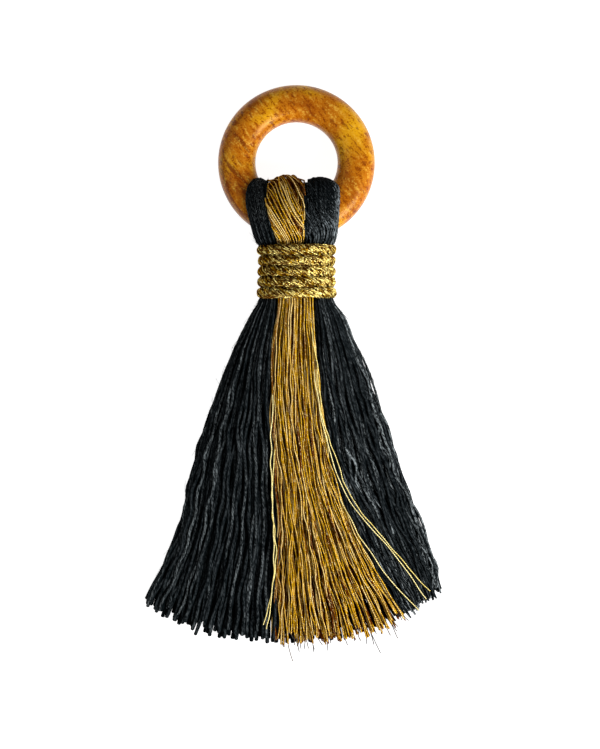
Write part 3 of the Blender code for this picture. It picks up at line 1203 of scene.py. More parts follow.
@dataclass
class WoodenRing:
    """The turned ring, a band of rounded square section that leans on its far rim."""

    node: bpy.types.Object
    outer_radius: float = 15.0
    hole_radius: float = 7.85
    thickness: float = 6.4
    tilt: float = math.radians(7.5)
    squareness: float = 2.3
    steps_round: int = 160
    steps_across: int = 48

    def centre(self) -> np.ndarray:
        """The ring's centre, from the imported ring."""
        low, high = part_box(self.node.name)
        return np.array((low + high) / 2) / MM

    def lean(self, flat: np.ndarray) -> np.ndarray:
        """Turn points of an untilted ring at the origin into place.

        Args:
            flat: The points.

        Returns:
            The points in place.
        """
        turned = flat.copy()
        turned[:, 1] = flat[:, 1] * math.cos(self.tilt) + flat[:, 2] * math.sin(self.tilt)
        turned[:, 2] = flat[:, 2] * math.cos(self.tilt) - flat[:, 1] * math.sin(self.tilt)
        return turned + self.centre()

    def band_centre(self, x: np.ndarray) -> np.ndarray:
        """The middle of the band at each x, in the part that the hanks are folded over.

        Args:
            x: How far right each point is.

        Returns:
            One point for each.
        """
        middle = (self.outer_radius + self.hole_radius) / 2
        down = -np.sqrt(np.maximum(middle * middle - x * x, 0.0))
        return self.lean(np.stack([x, down, np.zeros_like(x)], 1))

    def build(self) -> bpy.types.Object:
        """Build the ring.

        Returns:
            The piece.
        """
        turn = np.linspace(0.0, math.tau, self.steps_across, endpoint=False)
        power = 2.0 / self.squareness
        middle = (self.outer_radius + self.hole_radius) / 2
        half = (self.outer_radius - self.hole_radius) / 2
        out = middle + half * np.sign(np.cos(turn)) * np.abs(np.cos(turn)) ** power
        up = self.thickness / 2 * np.sign(np.sin(turn)) * np.abs(np.sin(turn)) ** power
        spin = np.linspace(0.0, math.tau, self.steps_round, endpoint=False)[:, None]
        ups = np.broadcast_to(up, (len(spin), len(up)))
        flat = np.stack([out * np.cos(spin), out * np.sin(spin), ups], 2)
        points = self.lean(flat.reshape(-1, 3)) * MM
        i, j = np.meshgrid(np.arange(self.steps_round), np.arange(self.steps_across), indexing="ij")
        i, j = i.ravel(), j.ravel()
        next_i, next_j = (i + 1) % self.steps_round, (j + 1) % self.steps_across
        corners = [i * self.steps_across + j, next_i * self.steps_across + j]
        corners += [next_i * self.steps_across + next_j, i * self.steps_across + next_j]
        mesh = bpy.data.meshes.new("wooden_ring")
        mesh.from_pydata(points, [], np.stack(corners, 1).tolist())
        mesh.shade_smooth()
        places = [(i, j), (i + 1, j), (i + 1, j + 1), (i, j + 1)]
        layer = mesh.uv_layers.new(name=BAKE_MAP)
        uv = np.stack([np.stack([a / self.steps_round, b / self.steps_across], 1) for a, b in places], 1)
        layer.uv.foreach_set("vector", uv.astype(np.float32).ravel())
        mesh.materials.append(VarnishedWood().material())
        piece = new_piece("wooden_ring", mesh)
        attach(piece, BODY)
        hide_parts(self.node.name)
        return piece


# ---------------------------------------------------------------- hanks


def wander(random: np.random.Generator, along: np.ndarray, shortest: float, longest: float) -> np.ndarray:
    """A gentle random wave along a strand, within about plus and minus 1.

    Args:
        random: The random numbers.
        along: The millimetres along the strand.
        shortest: The shortest wavelength.
        longest: The longest wavelength.

    Returns:
        The wave at each place.
    """
    lengths = random.uniform(shortest, longest, 3)
    phases = random.uniform(0.0, math.tau, 3)
    sizes = random.uniform(0.3, 0.7, 3)
    waves = zip(sizes, lengths, phases)
    return sum(size * np.sin(math.tau * along / length + phase) for size, length, phase in waves)


@dataclass
class FoldedHank:
    """A hank of strands folded over the ring, bound at its neck and cut at its lower end.

    The bundle turns by head_turn degrees in every 60 round the ring. sway moves a strand
    sideways in waves, fold_sway turns it round the bundle, and slub makes it thicker and
    thinner. A span named for what grows in it is in stations down the hank.
    """

    form: HankForm
    seed: int
    loops: int
    radius: float
    spacing: float
    fill: float = 0.72
    head_turn: float = 30.0
    sway: float = 0.45
    shortest_wave: float = 9.0
    longest_wave: float = 26.0
    uneven: float = 0.9
    end_round: float = 0.55
    splay: float = 0.0
    evenness: float = 0.75
    shortened: float = 0.0
    bulges: tuple[float, float] = (0.3, 0.3)
    fold_sway: float = 0.0
    fold_waves: Span = (80.0, 200.0)
    behind: Span = (200.0, 280.0)
    crown: float = 1.0
    crown_lean: float = 0.0
    crown_sag: float = 0.0
    stations: int = 21
    early_sway: float = 0.0
    slub: float = 0.0
    slub_waves: Span = (4.0, 11.0)
    hidden_sway: float = 1.0
    neck_stations: tuple[float, ...] = (5.6, 4.8, 3.2, 0.0, -3.2, -4.8, -6.2, -8.2)
    skirt_start: float = -11.0
    sway_grows: Span = (-5.5, -30.5)
    early_sway_grows: Span = (-5.5, -8.5)
    depth_sway: float = 0.16
    depth_waves: Span = (14.0, 40.0)
    splay_start: float = -44.0
    splay_run: float = 26.0
    strands: StrandSet = field(default_factory=StrandSet)

    def section_spot(self, spread: float, turn: np.ndarray) -> Spot:
        """Where in the hank's section a strand lies, from its place in a round bundle.

        Args:
            spread: How far it is from the bundle's middle, from 0 to 1.
            turn: Its angle round the bundle, in radians.

        Returns:
            The spot.
        """
        across, out = np.cos(turn), np.sin(turn)
        longest = np.maximum(np.abs(across), np.abs(out))
        return Spot(0.5 + 0.5 * spread * across / longest, 0.5 + 0.5 * spread * out / longest)

    def spread_out(self, share: np.ndarray, station: np.ndarray, leg: Leg) -> np.ndarray:
        """Where across the hank a strand lies at each station. A plain hank spreads evenly."""
        return share

    def tone(self, random: np.random.Generator, share: float) -> float:
        """How light a strand is, which may depend on its share of the width."""
        return random.random()

    def even_shares(self, spreads: np.ndarray, turns: np.ndarray) -> np.ndarray:
        """Shares of the width that keep the strands' order but leave no gap between them.

        Args:
            spreads: How far each strand is from the bundle's middle.
            turns: Each strand's angle round the bundle, in radians.

        Returns:
            One share for each strand.
        """
        shares = self.section_spot(spreads, turns).share
        order = np.argsort(np.argsort(shares))
        return shares + self.evenness * ((order + 0.5) / len(order) - shares)

    def leg_route(self, share: float, depth: float, leg: Leg, random: np.random.Generator) -> np.ndarray:
        """One leg's route, from the neck down to its cut end.

        Args:
            share: The share of the hank's width at which the strand lies.
            depth: The share of its leg's depth.
            leg: The leg.
            random: The random numbers.

        Returns:
            Its places, its outward directions and its radius, one row for each.
        """
        tip = np.interp(share, np.linspace(0.0, 1.0, len(self.form.tips)), self.form.tips)
        end = tip + 0.2 - random.uniform(-0.6, 1.0) * self.uneven
        aside = self.spread_out(np.array([share]), np.array([end]), leg)[0]
        end += self.shortened * min(1.0, max(0.0, -aside, aside - 1.0) * 4.0)
        skirt = np.linspace(self.skirt_start, end, self.stations)
        station = np.concatenate((self.neck_stations, skirt))
        early = self.early_sway * ramp(station, self.early_sway_grows)
        fade = np.maximum(ramp(station, self.sway_grows), early)
        room = np.sqrt(self.fill * self.form.skirt_area(station) / (math.pi * 2 * self.loops))
        radius = np.minimum(room, self.radius)
        shares = self.spread_out(np.full(len(station), share), station, leg)
        depths = depth + self.depth_sway * fade * wander(random, station, *self.depth_waves)
        depths = np.clip(depths, 0.0, 1.0)
        places = self.form.skirt_places(station, Spot(shares, depths), radius, leg)
        sway = self.sway if leg is Leg.FRONT else self.sway * self.hidden_sway
        places[:, 0] += sway * fade * wander(random, station, self.shortest_wave, self.longest_wave)
        low_down = np.clip((self.splay_start - station) / self.splay_run, 0.0, 1.2) ** 2
        places[:, 0] += self.splay * (2.0 * np.clip(shares, 0.0, 1.0) - 1.0) ** 5 * low_down
        return np.column_stack([places, radius])

    def crown_factor(self, angle: np.ndarray, share: np.ndarray) -> np.ndarray:
        """How high the fold stands at each angle, beside the solid's own height.

        Args:
            angle: The angles round the ring, in degrees.
            share: The shares of the width.

        Returns:
            One factor for each place.
        """
        sag = self.crown_sag * (2.0 * share - 1.0) ** 2
        height = self.crown - 1.0 + self.crown_lean * (share - 0.5) - sag
        return 1.0 + 2.0 * height * np.sin(np.radians(angle - 90.0)).clip(0.0)

    def loop_route(self, spread: float, turn: float, random: np.random.Generator) -> np.ndarray:
        """The route over the ring, from the neck's front to its back.

        Args:
            spread: How far the strand is from the bundle's middle.
            turn: Its angle round the bundle, in radians.
            random: The random numbers.

        Returns:
            Its places, its outward directions and its radius, one row for each.
        """
        angle = self.form.angles
        turns = turn + math.radians(self.head_turn) * (angle - 180.0) / 60.0
        inside = np.sin(math.pi * (angle - angle[0]) / (angle[-1] - angle[0]))
        turns = turns + self.fold_sway * inside * wander(random, angle, *self.fold_waves)
        room = np.sqrt(self.fill * self.form.loop_area(angle) / (math.pi * self.loops))
        radius = np.minimum(room, self.radius)
        spot = self.section_spot(spread, turns)
        front, back = (self.spread_out(spot.share, np.zeros(len(angle)), leg) for leg in Leg)
        spot.share = front + (back - front) * ramp(angle, self.behind)
        spot.depth = spot.depth * self.crown_factor(angle, spot.share)
        places = self.form.loop_places(angle, spot, radius)
        bulge = np.where(spot.share < 0.5, *self.bulges)
        places[:, 0] += bulge * (2.0 * spot.share - 1.0) * np.sin(np.radians(angle) / 2.0)
        return np.column_stack([places, radius])

    def round_ends(self, route: np.ndarray) -> np.ndarray:
        """Add a smaller section just past each end, so that it is blunt and round.

        Args:
            route: A strand's route.

        Returns:
            The longer route.
        """
        ends = []
        for here, inner in ((route[0], route[1]), (route[-1], route[-2])):
            end = here.copy()
            onward = here[:3] - inner[:3]
            end[:3] += onward / np.linalg.norm(onward) * here[-1] * 0.5
            end[-1] *= self.end_round
            ends.append(end)
        return np.vstack([ends[0], route, ends[1]])

    def lay_strands(self) -> None:
        """Lay every strand of the hank."""
        random = np.random.default_rng(self.seed)
        numbers = np.arange(self.loops)
        spreads = np.sqrt((numbers + 0.5) / self.loops)
        turns = numbers * math.pi * (3.0 - math.sqrt(5.0)) + random.normal(0.0, 0.1, self.loops)
        legs = []
        for leg in (Leg.FRONT, Leg.BACK):
            ends = turns - leg.value * math.radians(self.head_turn) * 2.0
            shares = self.even_shares(spreads, ends)
            depths = self.section_spot(spreads, ends).depth
            legs.append([self.leg_route(*spot, leg, random) for spot in zip(shares, depths)])
        for front, back, spread, turn in zip(*legs, spreads, turns):
            rough = np.vstack([front[::-1], self.loop_route(spread, turn, random), back])
            share = self.section_spot(spread, np.array([turn])).share[0]
            self.lay_strand(rough, share, random)

    def lay_strand(self, rough: np.ndarray, share: float, random: np.random.Generator) -> None:
        """Lay one strand along a rough route.

        Args:
            rough: Its places, outward directions and radius, one row for each.
            share: Its share of the hank's width.
            random: The random numbers.
        """
        route = smooth_route(rough, self.spacing)
        along = np.arange(len(route)) * self.spacing
        route[:, 6] *= 1.0 + self.slub * wander(random, along, *self.slub_waves)
        route = self.round_ends(route)
        self.strands.add(route[:, :3], route[:, 6], route[:, 3:6], self.tone(random, share))


@dataclass
class CharcoalHank(FoldedHank):
    """A hank of soft charcoal yarn.

    gold_side is 1 where the gold lies at its right and -1 where it lies at its left. Single
    strands run on under the gold, as far as under says, in shares of the hank's width.
    """

    node_name: str = ""
    sides: int = 7
    gold_side: float = 1.0
    under: float = 0.25
    under_at_tips: float = 0.4
    under_grows: Span = (-20.0, -62.0)
    under_sinks: Span = (-9.0, -23.0)
    under_strands: int = 14
    front_wider: float = 0.05
    back_wider: float = 0.25
    hairs: int = 5200
    hair_radius: float = 0.035
    hair_lengths: Span = (0.6, 2.4)
    hair_on_fold: float = 0.4
    hair_scatter: float = 0.6
    hair_lift: Span = (0.02, 0.16)
    hair_bend: float = 0.3
    fibres: int = 150
    fibre_starts: Span = (60.0, 190.0)
    fibre_runs: Span = (25.0, 80.0)
    fibre_shares: Span = (0.06, 0.94)
    fibre_depths: Span = (0.9, 1.08)
    fibre_radii: Span = (0.05, 0.11)
    fibre_tones: Span = (0.6, 1.2)
    fibre_sway: float = 0.03
    fibre_waves: Span = (30.0, 90.0)
    darkness: float = 2.2
    lightest: float = 1.0
    lit_side: float = 0.0
    bunches: int = 15
    bunched: float = 0.5
    bunches_draw: Span = (-62.0, -70.0)
    loose: tuple[tuple[float, float, float], ...] = ()
    loose_radius: float = 0.24

    def spread_out(self, share: np.ndarray, station: np.ndarray, leg: Leg) -> np.ndarray:
        """Where across the hank a strand lies.

        The back leg is a little wider, so that it shows dark beside the gold, and strands
        with a share past the gold side run on under the gold.

        Args:
            share: The strand's share of the width, the same all along.
            station: The stations.
            leg: The leg that they belong to.

        Returns:
            Its share at each station.
        """
        near = share if self.gold_side > 0 else 1.0 - share
        further = self.under + (self.under_at_tips - self.under) * ramp(station, self.under_grows)
        wider = self.front_wider if leg is Leg.FRONT else self.back_wider
        centre = (np.floor(near * self.bunches) + 0.5) / self.bunches
        drawn = self.bunched * ramp(station, self.bunches_draw) * (leg is Leg.FRONT)
        inside = np.minimum(near + (centre - near) * drawn, 1.0) * (1.0 + wider)
        near = inside + np.maximum(near - 1.0, 0.0) * further
        return near if self.gold_side > 0 else 1.0 - near

    def lay_strands(self) -> None:
        """Lay the folded strands, then the single ones that run on under the gold."""
        super().lay_strands()
        random = np.random.default_rng(self.seed + 20)
        for place in (np.arange(self.under_strands) + 0.5) / self.under_strands:
            share = 1.0 + place if self.gold_side > 0 else -place
            rough = self.leg_route(share, random.uniform(0.6, 1.0), Leg.BACK, random)
            lowered = ramp(rough[:, 1], self.under_sinks)
            rough[:, 2] += (self.radius + 0.2 - rough[:, 2]) * lowered
            self.lay_strand(rough, share, random)
        if self.loose:
            rough = np.array([(*place, 0.0, 0.0, 1.0, self.loose_radius) for place in self.loose])
            self.lay_strand(rough, 1.0, random)

    def tone(self, random: np.random.Generator, share: float) -> float:
        """How light a strand is: most are dark, and those on the lit side catch more light."""
        own = self.lightest * random.random() ** self.darkness
        return min(1.0, max(0.0, own + self.lit_side * (share - 0.5)))

    def hair_set(self) -> StrandSet:
        """Fine hairs that stand off the strands.

        Returns:
            The hairs.
        """
        random = np.random.default_rng(self.seed + 50)
        hairs = StrandSet()
        for _ in range(self.hairs):
            number = random.integers(len(self.strands.routes))
            route, radii = self.strands.routes[number], self.strands.radii[number]
            index = random.integers(2, len(route) - 4)
            along = route[index + 1] - route[index]
            along /= np.linalg.norm(along)
            way = self.strands.outward[number][index]
            out = np.cross(along, np.cross(way + random.normal(0.0, self.hair_scatter, 3), along))
            out /= np.linalg.norm(out)
            on_fold = route[index][1] > self.form.TOP
            length = random.uniform(*self.hair_lengths) * (self.hair_on_fold if on_fold else 1.0)
            share = np.linspace(0.0, 1.0, 4)[:, None]
            lift = random.uniform(*self.hair_lift) * length
            bend = np.cross(along, out) * random.normal(0.0, self.hair_bend) * length
            root = route[index] + out * radii[index] * 0.9
            line = root + along * share * length * random.choice((-1.0, 1.0))
            line = line + out * lift * np.sin(share * 2.2) + bend * share**2
            line[:, 2] = np.maximum(line[:, 2], self.hair_radius)
            radius = self.hair_radius * (1.0 - 0.5 * share[:, 0])
            hairs.add(line, radius, out, 0.2 + 0.6 * self.strands.tones[number] * random.random())
        return hairs

    def fibre_set(self) -> StrandSet:
        """Long fine fibres that lie on the hank where it is folded over the ring.

        Returns:
            The fibres.
        """
        random = np.random.default_rng(self.seed + 90)
        found = StrandSet()
        for _ in range(self.fibres):
            start = random.uniform(*self.fibre_starts)
            angle = np.linspace(start, start + random.uniform(*self.fibre_runs), 14)
            share = random.uniform(0.02, 0.98) - self.head_turn / 45.0 * (angle - angle.mean()) / 120.0
            aside = self.fibre_sway * wander(random, angle, *self.fibre_waves)
            share = np.clip(share + aside, *self.fibre_shares)
            risen = self.fibre_sway * wander(random, angle, *self.fibre_waves)
            depth = np.clip(1.02 + risen, *self.fibre_depths)
            depth *= self.crown_factor(angle, share)
            radius = np.full(len(angle), random.uniform(*self.fibre_radii))
            route = self.form.loop_places(angle, Spot(share, depth), radius)
            found.add(route[:, :3], radius, route[:, 3:], random.uniform(*self.fibre_tones))
        return found

    def build(self, material: bpy.types.Material) -> list[bpy.types.Object]:
        """Build the hank.

        Args:
            material: The yarn's finish.

        Returns:
            The strands, their loose hair and the fine fibres on the fold.
        """
        self.lay_strands()
        yarn = thicken(self.strands, self.node_name + "_yarn", self.sides, material)
        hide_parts(self.node_name)
        hair = thicken(self.hair_set(), self.node_name + "_hair", 3, material)
        fibres = thicken(self.fibre_set(), self.node_name + "_fibres", 3, material)
        for piece in (yarn, hair, fibres):
            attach(piece, BODY)
        return [yarn, hair, fibres]


@dataclass
class GoldHank(FoldedHank):
    """A hank of fine gold thread that fans out in bunches at its right."""

    node_name: str = "hank_gold"
    sides: int = 4
    bunches: int = 31
    bunched: float = 0.68
    bunched_at_left: float = 0.3
    bunch_sides: Span = (0.42, 0.72)
    bunches_draw: Span = (-24.0, -60.0)
    whiskers: int = 46
    whisker_lengths: Span = (0.7, 1.8)
    longest_whisker: float = 2.2
    whisker_scatter: float = 0.16
    whisker_bend: float = 0.12
    core_radius: float = 0.11
    # Dark strands of painted shade that close the fold behind the threads: where, at which shares, how thick
    # and how deep.
    fold_shade_span: Span = (120.0, 240.0)
    fold_shade_fillers: tuple[float, ...] = (0.62, 0.84)
    fold_shade_radius: float = 0.7
    fold_shade_depth: float = 1.1

    def lay_strands(self) -> None:
        """Lay the threads, then thick dark strands of painted shade behind them that close the fold."""
        super().lay_strands()
        angle = np.linspace(*self.fold_shade_span, 13)
        depth = self.fold_shade_depth * np.sin(np.radians(angle - 90.0))
        radius = np.full(len(angle), self.fold_shade_radius)
        for share in self.fold_shade_fillers:
            places = self.form.loop_places(angle, Spot(np.full(len(angle), share), depth), radius)
            # The way out is turned inward, so that they take the shade colour all over: painted shade.
            places[:, 3:] *= -1.0
            route = self.round_ends(np.column_stack([places, radius]))
            self.strands.add(route[:, :3], route[:, 6], route[:, 3:6], 0.0)

    def spread_out(self, share: np.ndarray, station: np.ndarray, leg: Leg) -> np.ndarray:
        """Where across the hank a strand lies: lower down, the right side draws into bunches.

        Args:
            share: The strand's share of the width, the same all along.
            station: The stations.
            leg: The leg that they belong to; not used.

        Returns:
            Its share at each station.
        """
        centres = (np.arange(self.bunches) + 0.5) / self.bunches
        centres += 0.012 * np.sin(np.arange(self.bunches) * 2.4)
        centre = centres[np.abs(centres - share[0]).argmin()]
        side = ramp(share, self.bunch_sides)
        drawn = self.bunched_at_left + (self.bunched - self.bunched_at_left) * side
        return share + (centre - share) * drawn * ramp(station, self.bunches_draw)

    def whisker_set(self) -> StrandSet:
        """Bare core fibres that stick out past the ends of some threads.

        Returns:
            The fibres.
        """
        random = np.random.default_rng(self.seed + 70)
        found = StrandSet()
        for number in random.choice(self.loops, self.whiskers, replace=False):
            route = self.strands.routes[number]
            out = route[0] - route[3]
            out = out / np.linalg.norm(out) + np.append(random.normal(0.0, self.whisker_scatter, 2), 0.0)
            share = np.linspace(0.0, 1.0, 6)[:, None]
            length = random.uniform(*self.whisker_lengths) + self.longest_whisker * random.random() ** 7
            side = np.array([[out[1], -out[0], 0.0]]) * random.normal(0.0, self.whisker_bend) * length
            line = route[0] + out * share * length + side * share**2
            line[:, 2] = np.maximum(line[:, 2], self.core_radius)
            found.add(line, self.core_radius, UP, random.random())
        return found

    def build(self, thread: bpy.types.Material, core: bpy.types.Material) -> list[bpy.types.Object]:
        """Build the hank.

        Args:
            thread: The finish of the thread.
            core: The finish of the fibre inside it.

        Returns:
            The threads and the bare fibres.
        """
        self.lay_strands()
        gold = thicken(self.strands, self.node_name + "_threads", self.sides, thread)
        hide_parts(self.node_name)
        bare = thicken(self.whisker_set(), self.node_name + "_core_ends", 3, core)
        for piece in (gold, bare):
            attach(piece, BODY)
        return [gold, bare]


class StrandTops:
    """How high the laid strands stand above the floor, place by place."""

    CELL = 0.5
    REACH = 90.0
    NEAR = 2

    def __init__(self, laid: list[StrandSet]) -> None:
        """Args:
            laid: The strands of every hank.
        """
        places = np.concatenate([route for strands in laid for route in strands.routes])
        radii = np.concatenate([radius for strands in laid for radius in strands.radii])
        self.highest = np.zeros((int(2 * self.REACH / self.CELL),) * 2)
        np.maximum.at(self.highest, self.cells(places[:, 0], places[:, 1]), places[:, 2] + radii)

    def cells(self, x: np.ndarray, y: np.ndarray) -> tuple[np.ndarray, np.ndarray]:
        """The cell numbers of places."""
        return tuple(((value + self.REACH) / self.CELL).astype(int) for value in (x, y))

    def over(self, x: np.ndarray, y: np.ndarray) -> np.ndarray:
        """The height of the highest strand near each place.

        Args:
            x: How far right each place is.
            y: How far up it is.

        Returns:
            One height for each.
        """
        steps = range(-self.NEAR, self.NEAR + 1)
        i, j = self.cells(x, y)
        return np.max([self.highest[i + a, j + b] for a in steps for b in steps], axis=0)


@dataclass
class StrayThreads:
    """A few threads that have slipped out of the gold hank and lie over the charcoal."""

    tops: StrandTops
    radius: float = 0.105
    lift: float = 0.12
    sway: float = 0.12
    spacing: float = 0.6
    soften: int = 9
    tuck: float = 1.5
    seed: int = 31
    paths: tuple[tuple[tuple[float, float], ...], ...] = (
        (
            (2.2, -8.0), (3.1, -12.5), (3.9, -18.0), (4.9, -27.4), (5.9, -31.2), (7.4, -35.1), (9.3, -40.8),
            (12.1, -45.6), (16.9, -51.3), (21.7, -57.0), (25.5, -61.2),
        ),
        ((3.0, -16.0), (4.2, -25.0), (5.6, -31.6), (8.9, -41.6), (12.8, -47.4), (18.0, -53.2), (24.9, -62.7)),
        ((7.8, -42.0), (10.6, -48.0), (14.4, -54.1), (18.6, -59.8), (23.6, -65.0)),
        ((-4.2, -20.0), (-4.9, -34.0), (-4.5, -46.0), (-4.4, -58.0), (-5.6, -68.4)),
        ((-3.8, -30.0), (-4.7, -44.0), (-3.9, -54.0), (-4.9, -62.0), (-6.3, -67.6)),
    )

    def build(self, material: bpy.types.Material) -> bpy.types.Object:
        """Build the threads.

        Args:
            material: The thread's finish.

        Returns:
            The piece.
        """
        random = np.random.default_rng(self.seed)
        strands = StrandSet()
        for path in self.paths:
            route = smooth_route(np.column_stack([np.array(path), np.zeros(len(path))]), self.spacing)
            route[:, 0] += self.sway * wander(random, route[:, 1], 3.0, 8.0)
            heights = np.pad(self.tops.over(route[:, 0], route[:, 1]), self.soften // 2, mode="edge")
            even = np.convolve(heights, np.full(self.soften, 1.0 / self.soften), mode="valid")
            route[:, 2] = even + self.radius + self.lift
            tucked = np.clip(1.0 - np.arange(len(route)) / self.soften, 0.0, 1.0)
            route[:, 2] -= self.tuck * tucked
            strands.add(route, self.radius, UP, random.uniform(0.7, 1.1))
        piece = thicken(strands, "stray_threads", 5, material)
        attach(piece, BODY)
        return piece


# ---------------------------------------------------------------- the binding


@dataclass
class CordBinding:
    """Turns of twisted metallic cord, wound side by side round the neck.

    Foil strips lie round a core at the cord's reach, and turn once in its lay.
    """

    node_name: str = "binding"
    turns: int = 5
    strips: int = 14
    strip_radius: float = 0.15
    core_radius: float = 0.86
    # The core is the cord's own; its dark tone is painted shade, showing as dark lines between the strips.
    core_tone: float = 0.22
    reach: float = 0.90
    uneven: float = 0.11
    loose: float = 0.17
    lay: float = 7.0
    slip: float = 0.32
    swell: float = 0.25
    tones: Span = (0.3, 1.1)
    step_behind: Span = (0.72, 1.0)
    start: float = 0.28
    spacing: float = 0.36
    narrower: float = 0.25
    sides: int = 4
    seed: int = 12

    def centreline(self, random: np.random.Generator) -> np.ndarray:
        """The line that the cord follows: level in front, and stepping on to the next turn behind.

        Args:
            random: The random numbers.

        Returns:
            The line's points, in millimetres.
        """
        low, high = (np.array(corner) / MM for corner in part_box(self.node_name))
        pitch = (high[1] - low[1]) / self.turns
        half_height = (high[2] - low[2] - pitch) / 2
        middle = (low + high) / 2
        turn = np.linspace(0.0, self.turns - 0.001, self.turns * 140)
        whole = np.floor(turn)
        step = ramp(turn - whole, self.step_behind)
        number = np.clip(whole + step * step * (3 - 2 * step), 0.0, self.turns - 1)
        angle = math.tau * turn - math.pi / 2 + self.start
        pulled = np.interp(turn * 2.0, np.arange(self.turns * 2), random.uniform(-1.0, 1.0, self.turns * 2))
        half_width = (high[0] - low[0] - pitch) / 2 - self.narrower + self.loose * pulled
        x = middle[0] + half_width * np.cos(angle)
        z = middle[2] + half_height * np.sin(angle)
        return np.stack([-x, high[1] - pitch * (number + 0.5), z], 1)

    def build(self, material: bpy.types.Material) -> bpy.types.Object:
        """Build the cord.

        Args:
            material: The cord's finish.

        Returns:
            The piece.
        """
        random = np.random.default_rng(self.seed)
        line = smooth_route(self.centreline(random), self.spacing)
        steps = np.linalg.norm(np.diff(line, axis=0), axis=1)
        along = np.concatenate(([0.0], np.cumsum(steps)))
        heading = np.gradient(line, axis=0)
        heading /= np.linalg.norm(heading, axis=1)[:, None]
        beside = np.cross(heading, np.array([0.0, 1.0, 0.0]))
        beside /= np.linalg.norm(beside, axis=1)[:, None]
        up = np.cross(beside, heading)
        strands = StrandSet()
        for strip in range(self.strips):
            slip = self.slip * wander(random, along, 4.0, 12.0)
            turn = -math.tau * (along / self.lay + strip / self.strips) + slip
            out = beside * np.cos(turn)[:, None] + up * np.sin(turn)[:, None]
            reach = self.reach + self.uneven * wander(random, along, 2.5, 8.0)
            radius = self.strip_radius * (1.0 + self.swell * wander(random, along, 2.0, 6.0))
            strands.add(line + out * reach[:, None], radius, out, random.uniform(*self.tones))
        # Painted shade: the core's dark tone shows between the strips.
        strands.add(line, self.core_radius, np.zeros(3), self.core_tone)
        piece = thicken(strands, "binding_cord", self.sides, material)
        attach(piece, BODY)
        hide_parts(self.node_name)
        return piece


# ---------------------------------------------------------------- the studio


@dataclass(frozen=True)
class SoftLight:
    """A soft square light that faces the object."""

    name: str
    place: tuple[float, float, float]
    size: float
    power: float
    colour: Colour = (1.0, 1.0, 1.0)

    def build(self, target: Vector) -> None:
        """Add the light.

        Args:
            target: The point that it faces.
        """
        data = bpy.data.lights.new(self.name, "AREA")
        data.size = self.size
        data.energy = self.power
        data.color = self.colour
        light = bpy.data.objects.new(self.name, data)
        light.location = self.place
        light.rotation_euler = (target - light.location).to_track_quat("-Z", "Y").to_euler()
        bpy.context.scene.collection.objects.link(light)


@dataclass
class Studio:
    """A pale floor, soft light from the lower right, and a camera straight above."""

    middle: tuple[float, float] = (0.67, -19.7)
    tall: float = 143.06
    lens: float = 300.0
    focus_height: float = 6.0
    sensor: float = 36.0
    floor_size: float = 1.6
    sky: float = 0.28
    lights: tuple[SoftLight, ...] = (
        SoftLight("key", (0.38, -0.28, 0.36), 0.30, 7.0),
        SoftLight("fill", (-0.40, 0.15, 0.45), 0.4, 0.4),
    )

    def build(self) -> None:
        """Build the floor, the lights and the camera."""
        scene = bpy.context.scene
        scene.view_settings.view_transform = "Standard"
        self.build_floor()
        world = bpy.data.worlds.new("soft_sky")
        world.use_nodes = True
        sky = {"Color": (1.0, 1.0, 1.0), "Strength": self.sky}
        Graph(world.node_tree).feed_all(world.node_tree.nodes["Background"], sky)
        scene.world = world
        target = Vector((self.middle[0] * MM, self.middle[1] * MM, 0.0))
        for light in self.lights:
            light.build(target)
        data = bpy.data.cameras.new("camera")
        data.lens = self.lens
        data.sensor_width = self.sensor
        camera = bpy.data.objects.new("camera", data)
        height = (self.focus_height + self.tall * self.lens / self.sensor) * MM
        camera.location = (target.x, target.y, height)
        scene.collection.objects.link(camera)
        scene.camera = camera

    def build_floor(self) -> None:
        """Build the floor under the object."""
        half = self.floor_size / 2
        corners = [(-half, -half, 0.0), (half, -half, 0.0), (half, half, 0.0), (-half, half, 0.0)]
        mesh = bpy.data.meshes.new("floor")
        mesh.from_pydata(corners, [], [(0, 1, 2, 3)])
        mesh.materials.append(StudioWhite().material())
        new_piece("floor", mesh)


# ---------------------------------------------------------------- the whole tassel


def report(pieces: list[bpy.types.Object]) -> None:
    """Log each piece's name and how many triangles it has."""
    for piece in pieces:
        piece.data.calc_loop_triangles()
        LOG.info("%s: %d triangles", piece.name, len(piece.data.loop_triangles))


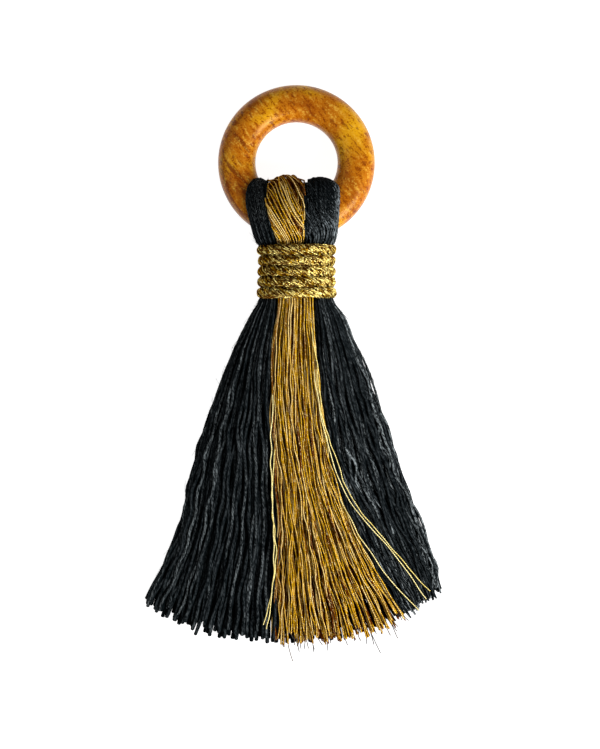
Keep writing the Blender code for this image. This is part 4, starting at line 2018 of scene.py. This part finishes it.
def main() -> None:
    """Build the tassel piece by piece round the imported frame."""
    logging.basicConfig(level=logging.INFO, format="%(name)s: %(message)s")
    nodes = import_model()["nodes"]
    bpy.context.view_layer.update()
    ring = WoodenRing(nodes["ring"])
    report([ring.build()])
    forms = {name: HankForm(nodes[name], ring) for name in ("hank_left", "hank_gold", "hank_right")}
    yarn = CharcoalYarn().material()
    thread = FoilThread(
        "gold_thread", (0.090, 0.017, 0.0002), (0.60, 0.33, 0.006), (0.92, 0.76, 0.36),
        metallic=0.35, patch=0.2, open_side=(0.08, 0.82), fold_shade_strength=0.7,
    ).material()
    stray = FoilThread(
        "stray_thread", (0.28, 0.16, 0.012), (0.72, 0.57, 0.15), (0.98, 0.90, 0.50), metallic=0.35
    ).material()
    cord = FoilThread(
        "gold_cord", (0.070, 0.017, 0.0001), (0.50, 0.275, 0.001), (1.0, 0.83, 0.27), (0.60, 0.38, 0.02),
        dash=0.7, roughness=0.34, metallic=0.6, bump=1.0, patch=0.25, facets=0.9, open_side=(0.2, 0.95),
    ).material()
    left = CharcoalHank(
        forms["hank_left"], 3, 60, 0.39, 1.15, node_name="hank_left", gold_side=1.0,
        head_turn=40.0, bulges=(0.55, 0.0), crown=0.84,
        stations=28, sway=0.36, hidden_sway=0.4, shortest_wave=7.0, slub=0.10, splay=0.9,
        darkness=1.2, lightest=0.46, lit_side=-0.15,
    )
    report(left.build(yarn))
    right = CharcoalHank(
        forms["hank_right"], 5, 60, 0.39, 1.15, node_name="hank_right", gold_side=-1.0,
        head_turn=50.0, bulges=(0.3, 0.45), crown=0.97, fibres=320,
        stations=32, sway=0.46, hidden_sway=0.15, shortest_wave=6.0, slub=0.10, splay=0.4,
        under_at_tips=1.9, under_strands=42, shortened=-0.8, darkness=0.75, lit_side=0.5,
        loose=(
            (9.8, -11.0, 1.6), (11.1, -13.6, 2.2), (12.6, -16.4, 2.6), (13.9, -19.4, 2.5),
            (15.0, -22.6, 2.3), (15.9, -25.8, 2.0), (16.8, -29.4, 1.6),
        ),
    )
    report(right.build(yarn))
    gold = GoldHank(
        forms["hank_gold"], 7, 160, 0.155, 1.35,
        head_turn=52.0, bulges=(0.6, 0.35), fold_sway=0.2, crown=1.06, crown_lean=0.03, crown_sag=0.02,
        stations=36, sway=0.28, early_sway=0.55, shortest_wave=5.5, uneven=1.5,
    )
    report(gold.build(thread, CoreFilament().material()))
    tops = StrandTops([hank.strands for hank in (left, right, gold)])
    report([StrayThreads(tops).build(stray)])
    report([CordBinding().build(cord)])
    Studio().build()


if __name__ == "__main__":
    main()
